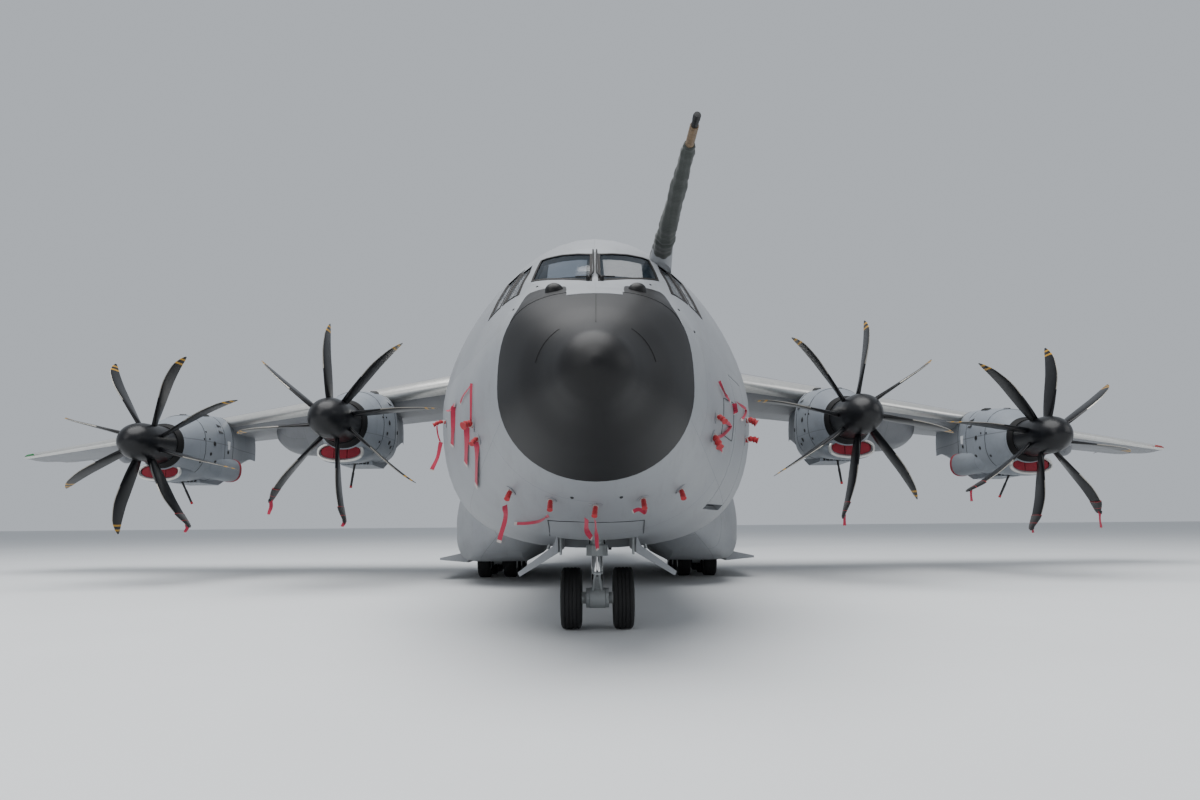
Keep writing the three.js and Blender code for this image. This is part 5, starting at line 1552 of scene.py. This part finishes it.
class PLANE_OT_engine_fittings(bpy.types.Operator):
    """Intake lips and covers, exhaust rims and covers, vents, seams, hoods and drain masts of the engines"""

    bl_idname = "plane.engine_fittings"
    bl_label = "Engine fittings"

    KEYS = ("nacelle", "bare_metal", "cloth", "dark", "burnt", "hub", "plug", "plate")
    PAINT, METAL, CLOTH, DARK, BURNT, BLACK, PLUG, PLATE = range(8)

    def execute(self, context):
        finishes = Finishes.several(*self.KEYS)
        sets = {name: self.dressing(side, name == "outer") for name, side in (("inner", 1), ("outer", -1))}
        for name, x, y, z, _, _ in ENGINES:
            shape = sets[name.split("_")[0]].on_side(1 if x > 0 else -1).shifted(x, y, z)
            piece(f"cowling_fittings_{name}", shape, finishes)
        return {"FINISHED"}

    def dressing(self, exhaust_side, covered_exhaust):
        """The fittings of a left-hand engine about its propeller's middle."""
        intake, exhaust = (0.13, -0.76), (exhaust_side * 0.68, -0.55)
        total = loft(duct_rings(*intake, LIP, 56), "ringed").painted(self.METAL)
        # The black collar behind the spinner.
        collar = [nacelle_ring(aft, -0.005) for aft in steps(0.352, 0.54, 5)]
        collar += [nacelle_ring(aft, 0.02) for aft in steps(0.54, 0.352, 5)]
        total += loft(collar, "ringed").painted(self.BLACK)
        # The quilted plug in the intake, in three parts.
        rows = [(aft, 0.545 * k, 0.196 * k) for aft, k in ((0.86, 1), (0.76, 1), (0.735, 0.94))]
        plug = loft(duct_rings(*intake, rows))
        for low, high in ((-0.42, -0.065), (-0.045, 0.295), (0.315, 0.7)):
            part = carved(plug, block((low, high), (0.5, 1.0), (-1.2, -0.3)), "INTERSECT")
            total += part.painted(self.PLUG)
        total += loft(duct_rings(*exhaust, EXHAUST_RIM), "ringed").painted(self.BURNT)
        if covered_exhaust:
            rows = [(aft, 0.3 * k, 0.31 * k) for aft, k in ((3.3, 1), (3.5, 1), (3.56, 0.85))]
            total += loft(duct_rings(*exhaust, rows, 40, 2.3)).painted(self.CLOTH)
            rows = [(aft, 0.325 + off, 0.335 + off) for aft, off in EXHAUST_SLEEVE]
            total += loft(duct_rings(*exhaust, rows), "ringed").painted(self.PLUG)
            # A blank white placard on the inboard side.
            placard = plate_on(*nacelle_point(2.95, -82, 0.004), Vector((0, 0, 0.13)), 0.2, 0.008)
            total += placard.painted(self.PLATE)
        # The cooler's mouth, a thin dark block that is painted shade of the opening, and the fins in it.
        total += block((-0.24, 0.52), (2.16, 2.2), (-0.98, -0.86)).painted(self.DARK)
        for k in range(7):
            x = -0.2 + 0.115 * k
            total += block((x, x + 0.02), (2.12, 2.3), (-1.0, -0.88)).painted(self.PAINT)
        for aft, start, end, width in COWLING_SEAMS:
            line, outs = zip(*(nacelle_point(aft, a, 0.002) for a in steps(start, end, 60)))
            total += strip(line, outs, width, 0.008).painted(self.DARK)
        for aft, angle, radius in COWLING_VENTS:
            point, out = nacelle_point(aft, angle)
            total += disc(point, out, radius, 0.012).painted(self.DARK)
            total += disc(point, out, radius * 0.6, 0.018).painted(self.BLACK)
        for angle in (-52, -40):
            patch = plate_on(*nacelle_point(2.4, angle), Vector((0, 0.12, 0)), 0.1, 0.012)
            total += patch.painted(self.DARK)
        # The two low hoods on top.
        top = nacelle_point(2.3, 18)[0].z
        outline = [(2.02, top - 0.03), (2.5, top - 0.03), (2.4, top + 0.05), (2.15, top + 0.055)]
        for x in (-0.31, 0.31):
            total += prism("x", outline, x - 0.085, x + 0.085).painted(self.DARK)
        # The drain mast under the cowling: black, with a red foot.
        lean = -0.35 if covered_exhaust else 0.14
        mast = [Vector((0.02 + lean * t, 1.75 + 0.12 * t, -0.9 - 0.78 * t)) for t in (0, 0.45, 0.92, 1.0)]
        total += tube_along(mast[:2], [0.035, 0.028], 16).painted(self.DARK)
        total += tube_along(mast[1:3], [0.036, 0.032], 14).painted(self.DARK)
        return total + tube_along(mast[2:], 0.037, 14).painted(self.CLOTH)


# Columns: propeller, number of the blade, and how far its streamer hangs.
TIP_COVERS = [
    ("inner_right", 5, 0.42), ("inner_right", 4, 0.2), ("outer_right", 3, 0.25), ("inner_left", 4, 0.3),
    ("outer_left", 5, 0.36), ("outer_left", 3, 0.5), ("outer_left", 4, 0.18),
]  # fmt: skip
SOCK_RADII = [2.28, 2.292, 2.33, 2.38, 2.43, 2.48, 2.5, 2.512, 2.56, 2.61, 2.66, 2.7, 2.715]
SOCK_BANDS = (2.28, 2.5)  # radii at which its red bands start


class PLANE_OT_tip_covers(bpy.types.Operator):
    """Dark cloth socks with red bands on some lower blade tips, each with its streamer"""

    bl_idname = "plane.tip_covers"
    bl_label = "Blade tip covers"

    def execute(self, context):
        width = context.scene.plane_sizes.streamer_width
        places = {name: (Vector((x, y, z)), phase, hand) for name, x, y, z, phase, hand in ENGINES}
        for name, number, hang in TIP_COVERS:
            middle, phase, hand = places[name]
            rings = []
            for r in SOCK_RADII:
                part = 1.0 if r < 2.69 else 0.5
                rings.append(blade_ring(r, row_at(BLADE, min(r, 2.6)), hand, (0.05, 0.06), part))
            sock = loft(rings, finishes=lambda r, _: int(SOCK_RADII[r] in SOCK_BANDS))
            turn = Matrix.Rotation(math.radians(phase + 360 / BLADES * number), 4, "Y")
            body = f"propeller_{name}"
            sock = sock.moved(Matrix.Translation(middle) @ turn)
            sock_name = f"tip_sock_{name}_{number}"
            piece(sock_name, sock, Finishes.several("sock", "cloth"), body)
            end = middle + turn @ Vector((0, -0.1, 2.6))
            through = [end, end + Vector((0.02 * math.copysign(1, middle.x), 0.0, -hang))]
            streamer = f"tip_streamer_{name}_{number}"
            hang_streamer(streamer, through, width * 1.5, body, clear=False, wave=0.02)
        return {"FINISHED"}


def skin_frame(stations, angles, last, count, width, sign=1):
    """The gap round a rectangular door or hatch: a strip between two stations and two angles from the crown.

    Each side has count points and ends at a part of its length, so that the corners are cut a little.
    """
    (front, rear), (high, low) = stations, angles
    corners = [(front, high), (front, low), (rear, low), (rear, high)]
    ring = []
    for a, b in zip(corners, corners[1:] + corners[:1]):
        ring += [(a[0] + (b[0] - a[0]) * t, sign * (a[1] + (b[1] - a[1]) * t)) for t in steps(0, last, count)]
    line, normals = [], []
    for y, angle in ring + ring[:1]:
        point = skin_point(y, angle, 0.003)
        line.append(point)
        ahead = -0.25 if y < 6 else 0.0  # the skin of the nose faces forward a little
        normals.append(Vector((point.x, ahead, point.z - row_at(FUSELAGE, y)[3])).normalized())
    return strip(line, normals, width, 0.006)


def level_strip(points, width, thick, normal=(0, 0, 1)):
    return strip(points, [Vector(normal)] * len(points), width, thick)


# The front and sides of the panel before the nose-gear bay, as points on the skin.
NOSE_PANEL = [
    [(-0.66, 3.13, 1.67), (-0.49, 3.02, 1.66), (-0.33, 2.94, 1.65), (-0.01, 2.90, 1.64),
     (0.31, 2.96, 1.64), (0.47, 3.03, 1.65), (0.64, 3.13, 1.66)],
    [(-0.66, 3.13, 1.67), (-0.66, 3.44, 1.58), (-0.68, 3.98, 1.45)],
    [(0.64, 3.13, 1.66), (0.66, 3.73, 1.50), (0.71, 5.03, 1.29)],
]  # fmt: skip


# Inner and outer end of each spoiler, and where all of them begin and end along the chord.
SPOILERS = [(3.4, 5.6), (5.6, 7.8), (9.7, 11.5), (11.5, 13.3), (13.3, 15.1)]
SPOILER_CHORD = (0.6, 0.715)


class PLANE_OT_seams(bpy.types.Operator):
    """Dark gaps of the fixed doors and hatches, and the joints of the spoilers and radome"""

    bl_idname = "plane.seams"
    bl_label = "Seams"

    def execute(self, context):
        total = Shape()
        for line in NOSE_PANEL:
            line = curve_through([skin_at(x, z, y, 0.003) for x, y, z in line], 4)
            outs = [Vector((p.x, -0.3, p.z - NOSE_AXIS)).normalized() for p in line]
            total += strip(line, outs, 0.012, 0.006)
        # The side doors for paratroops, then the hatch behind the nose on the left side.
        for _, sign in SIDES:
            total += skin_frame((23.0, 24.1), (60, 100), 0.92, 9, 0.02, sign)
        total += skin_frame((3.0, 3.7), (88, 104), 0.9, 5, 0.01)
        piece("skin_seams", total, get("seam"))

        line = [skin_point(y, 0.5, 0.002) for y in steps(1.42, 0.55, 16)]
        joint = level_strip(line, 0.01, 0.006, (0, -0.5, 1))
        for _, sign in SIDES:
            line = [skin_point(0.66 + 0.05 * t, sign * (38 + 40 * t), 0.002) for t in steps(0, 1, 12)]
            joint += level_strip(line, 0.008, 0.005, (sign * 0.5, -1, 0.3))
        piece("radome_joints", joint, get("hub"))

        spoilers = Shape()
        for inner, outer in SPOILERS:
            for part in SPOILER_CHORD:
                spoilers += level_strip([wing_top(x, part) for x in steps(inner, outer, 6)], 0.02, 0.02)
            for x in (inner, outer):
                side = [wing_top(x, part) for part in steps(*SPOILER_CHORD, 5)]
                spoilers += level_strip(side, 0.02, 0.02)
        both_sides("spoiler_seams", spoilers, get("seam"))
        return {"FINISHED"}


def wing_top(x, part):
    """A point on the wing's upper side."""
    front, chord, thickness, z = wing_section(x)
    upper = WING_CURVE[: len(WING_CURVE) // 2]
    (c0, h0), (c1, h1) = next(ends for ends in zip(upper, upper[1:]) if ends[1][0] <= part <= ends[0][0])
    high = h0 + (h1 - h0) * (c0 - part) / (c0 - c1)
    return Vector((x, front + part * chord, z + high * thickness))


# Columns: station, x, height of the foot and of the tip, length of an aerial on the back.
AERIALS = [
    (9.6, 0.0, 6.82, 7.16, 0.5),
    (11.6, 0.0, 6.83, 7.06, 0.32),
    (27.6, 0.0, 6.82, 7.2, 0.55),
    (30.4, 0.0, 6.8, 7.05, 0.34),
]
# Columns: station, x and depth of an aerial under the belly.
BELLY_AERIALS = [(8.9, 0.0, 0.3), (11.0, 0.3, 0.22)]


def aerial(y, x, foot, tip, length, taper, back, thick):
    """A blade between two heights; taper is the part that its tip lacks, back how far the tip is swept."""
    rings = []
    for t in steps(0, 1, 6):
        z, chord = foot + (tip - foot) * t, length * (1 - taper * t)
        rings.append([(x + h * thick, y + back * t + c * chord, z) for c, h in FIN_CURVE])
    return loft(rings)


class PLANE_OT_lights_and_aerials(bpy.types.Operator):
    """Position lamps, blade aerials and static wicks"""

    bl_idname = "plane.lights_and_aerials"
    bl_label = "Lamps and aerials"

    def execute(self, context):
        line = [(20.6, 21.37, 4.285), (20.85, 21.47, 4.26), (21.05, 21.62, 4.24)]
        lamp = tube_along(line, [0.035, 0.04, 0.025], 20)
        for (side, sign), key in zip(SIDES, ("lamp_red", "lamp_green")):
            piece(f"position_lamp_{side}", lamp.on_side(sign), get(key))
        fins = joined(aerial(*columns, 0.45, 0.35 * columns[-1], 0.1) for columns in AERIALS)
        for y, x, depth in BELLY_AERIALS:
            bottom = row_at(FUSELAGE, y)[2] + 0.03
            fins += aerial(y, x, bottom, bottom - depth, 0.36, 0.4, 0.2, 0.08)
        piece("blade_aerials", fins, get("dark"))
        wicks = Shape()
        for x in (16.6, 17.8, 19.0, 20.2):
            back = wing_point(x, 0.995, 0.0)
            wicks += tube_along([back, (x + 0.02, back[1] + 0.26, back[2] - 0.02)], 0.008, 6)
        both_sides("static_wicks", wicks, get("dark"), "aileron")
        return {"FINISHED"}


class PLANE_OT_gear_fittings(bpy.types.Operator):
    """Torque links, lamps, pipes and door arms of the nose gear, and brakes and struts of the main gear"""

    bl_idname = "plane.gear_fittings"
    bl_label = "Gear fittings"

    def execute(self, context):
        finishes = Finishes.several("gear", "chrome", "dark", "lamp")
        piece("nose_leg_fittings", self.nose_leg(), finishes, bevel=0.004)
        piece("nose_fork_fittings", self.nose_fork(), finishes, "nose_steer")
        both_sides("main_leg_fittings", self.main_legs(), finishes)
        return {"FINISHED"}

    @staticmethod
    def nose_leg():
        y = NOSE_Y
        leg = Shape()
        collar = [(0.132, 0), (0.152, 0.012), (0.152, 0.05), (0.132, 0.062)]
        for z in (1.34, 1.5, 1.72, 2.02):
            leg += turned(collar, 36, (0, y, z), (0, y, z + 1))
        for sign in (1, -1):
            lamp = Vector((sign * 0.27, y - 0.14, 1.46))
            back, rim, lens, front = (lamp + Vector((0, v, 0)) for v in (0.14, -0.02, -0.015, -0.035))
            leg += rod(back, rim, 0.062, 0.088, 32)
            leg += rod(lens, front, 0.08, sides=32).painted(3)
            leg += rod((0, y - 0.02, 1.46), (sign * 0.25, y - 0.03, 1.46), 0.022, sides=12)
            # Columns: x, distance ahead of the leg, height.
            pipe = [(0.06, 0.12, 2.4), (0.1, 0.15, 2.0), (0.07, 0.15, 1.7), (0.12, 0.1, 1.3)]
            line = curve_through([(sign * u, y - ahead, z) for u, ahead, z in pipe], 8)
            leg += tube_along(line, 0.011, 8).painted(2)
            # The bracket and the strut that hold the open door.
            middle, outline = sign * 0.545, [(4.2, 1.5), (4.7, 1.5), (4.62, 1.16), (4.3, 1.16)]
            leg += prism("x", outline, middle - 0.012, middle + 0.012)
            leg += rod((sign * 0.5, y + 0.1, 2.2), (sign * 0.78, y + 0.1, 1.22), 0.025, sides=12)
        return leg

    @staticmethod
    def nose_fork():
        y = NOSE_Y
        fork = rod((0, y, 0.66), (0, y, 1.12), 0.091, sides=36).painted(1)
        fork += rod((-0.14, y, NOSE_RADIUS), (0.14, y, NOSE_RADIUS), 0.158, sides=36)
        # The torque links: one from below to the knee behind the leg, one from the knee up.
        knee = (y - 0.3, 0.86)
        for start, end in (((y - 0.13, 0.6), knee), (knee, (y - 0.13, 1.1))):
            for sign in (1, -1):
                fork += rod((sign * 0.07, *start), (sign * 0.03, *end), 0.02, sides=12)
        return fork + rod((-0.06, *knee), (0.06, *knee), 0.026, sides=16)

    @staticmethod
    def main_legs():
        x = MAIN_X
        legs = Shape()
        for axle in MAIN_AXLES:
            for end in (-1, 1):
                brake = x + end * 0.155
                inner, outer = (brake - 0.02, axle, MAIN_RADIUS), (brake + 0.02, axle, MAIN_RADIUS)
                legs += rod(inner, outer, 0.2, sides=36).painted(2)
                hose = [(brake, axle - 0.12, 0.72), (x + end * 0.12, axle - 0.3, 1.0)]
                hose += [(x + end * 0.11, axle - 0.5, 1.35), (x, axle - 0.6, 1.58)]
                legs += tube_along(curve_through(hose, 8), 0.012, 8).painted(2)
            legs += rod((x, axle - 0.1, 0.7), (x, axle - 0.165, 1.15), 0.072, sides=28).painted(1)
            for z, tilt in ((1.2, -0.172), (1.45, -0.205)):
                legs += rod((x, axle + tilt, z), (x, axle + tilt - 0.008, z + 0.05), 0.105, sides=32)
        return legs


class PLANE_OT_packed_finishes(bpy.types.Operator):
    """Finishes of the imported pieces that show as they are"""

    bl_idname = "plane.packed_finishes"
    bl_label = "Packed pieces"

    def execute(self, context):
        chosen = {"flight_deck": "lining", "cargo_floor": "deck", "nose_leg": "gear", "nose_fork": "gear"}
        for name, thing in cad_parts.items():
            if thing.hide_render:
                continue
            key = chosen.get(name)
            if key is None:
                key = "gear" if "gear_legs" in name else "burnt" if name.startswith("engine") else "fuselage"
            for slot in thing.material_slots:
                slot.material = get(key)
            if not thing.material_slots:
                thing.data.materials.append(get(key))
        return {"FINISHED"}


# The camera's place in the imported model's frame, and its small turns in degrees, as fitted to the photograph.
CAMERA_PLACE = (0.0005, -15.123, 0.8085)
CAMERA_TURN, CAMERA_ROLL = -0.29, -0.475


class PLANE_OT_stage(bpy.types.Operator):
    """Pale floor, soft light and the camera at the photograph's viewing angle"""

    bl_idname = "plane.stage"
    bl_label = "Stage"

    def execute(self, context):
        stage = context.scene.plane_stage
        half = 240.0
        mesh = bpy.data.meshes.new("studio_floor")
        corners = [(-half, -half, 0), (half, -half, 0), (half, half, 0), (-half, half, 0)]
        mesh.from_pydata(corners, [], [(0, 1, 2, 3)])
        mesh.materials.append(get("floor"))
        floor = bpy.data.objects.new("studio_floor", mesh)
        context.scene.collection.objects.link(floor)
        floor.location.z = -0.002

        # Columns: name, place, size of the light, power as a part of the key light's.
        lights = [
            ("overhead", (-3.0, -10.0, 26.0), 32.0, 1.0),
            ("front_fill", (-16.0, -26.0, 12.0), 20.0, 0.12),
            ("side_fill", (22.0, -12.0, 10.0), 14.0, 0.06),
        ]
        for name, place, width, part in lights:
            data = bpy.data.lights.new(name, "AREA")
            data.shape, data.size, data.energy = "DISK", width, stage.key_power * part
            lamp = bpy.data.objects.new(name, data)
            context.scene.collection.objects.link(lamp)
            lamp.location = place
            aim = Vector((0, -6, 2)) - Vector(place)
            lamp.rotation_euler = aim.to_track_quat("-Z", "Y").to_euler()
        world = bpy.data.worlds.new("soft studio")
        world.use_nodes = True
        background = world.node_tree.nodes["Background"]
        background.inputs["Color"].default_value = linear("#dce2ea")
        background.inputs["Strength"].default_value = stage.sky
        context.scene.world = world

        data = bpy.data.cameras.new("camera")
        data.sensor_width, data.lens = 36.0, stage.lens
        camera = bpy.data.objects.new("camera", data)
        context.scene.collection.objects.link(camera)
        camera.location = CAMERA_PLACE
        turn, roll = (Matrix.Rotation(math.radians(angle), 4, "Z") for angle in (CAMERA_TURN, CAMERA_ROLL))
        upward = Matrix.Rotation(math.pi / 2 + stage.pitch, 4, "X")
        camera.rotation_euler = (turn @ upward @ roll).to_euler()
        data.clip_end = 500
        context.scene.camera = camera
        return {"FINISHED"}


OPERATORS = (
    PLANE_OT_fuselage,
    PLANE_OT_doors,
    PLANE_OT_glazing,
    PLANE_OT_wings,
    PLANE_OT_tail,
    PLANE_OT_sponsons,
    PLANE_OT_wheels,
    PLANE_OT_engines,
    PLANE_OT_propellers,
    PLANE_OT_nose_fittings,
    PLANE_OT_streamers,
    PLANE_OT_probe,
    PLANE_OT_engine_fittings,
    PLANE_OT_tip_covers,
    PLANE_OT_seams,
    PLANE_OT_lights_and_aerials,
    PLANE_OT_gear_fittings,
    PLANE_OT_packed_finishes,
    PLANE_OT_stage,
)


class PLANE_PT_sidebar(bpy.types.Panel):
    """The plane's settings and its pieces"""

    bl_idname = "PLANE_PT_sidebar"
    bl_label = "Transport plane"
    bl_space_type = "VIEW_3D"
    bl_region_type = "UI"
    bl_category = "Plane"

    def draw(self, context):
        for group in (context.scene.plane_paint, context.scene.plane_sizes, context.scene.plane_stage):
            box = self.layout.box()
            for name in group.__annotations__:
                box.prop(group, name)
        for operator in OPERATORS:
            self.layout.operator(operator.bl_idname)


CLASSES = (PlanePaint, PlaneSizes, PlaneStage, *OPERATORS, PLANE_PT_sidebar)


def register():
    for cls in CLASSES:
        bpy.utils.register_class(cls)
    bpy.types.Scene.plane_paint = bpy.props.PointerProperty(type=PlanePaint)
    bpy.types.Scene.plane_sizes = bpy.props.PointerProperty(type=PlaneSizes)
    bpy.types.Scene.plane_stage = bpy.props.PointerProperty(type=PlaneStage)


def unregister():
    del bpy.types.Scene.plane_stage, bpy.types.Scene.plane_sizes, bpy.types.Scene.plane_paint
    for cls in reversed(CLASSES):
        bpy.utils.unregister_class(cls)


def main():
    register()
    for operator in OPERATORS:
        group, name = operator.bl_idname.split(".")
        getattr(getattr(bpy.ops, group), name)()
    bpy.context.view_layer.update()


if __name__ == "__main__":
    main()
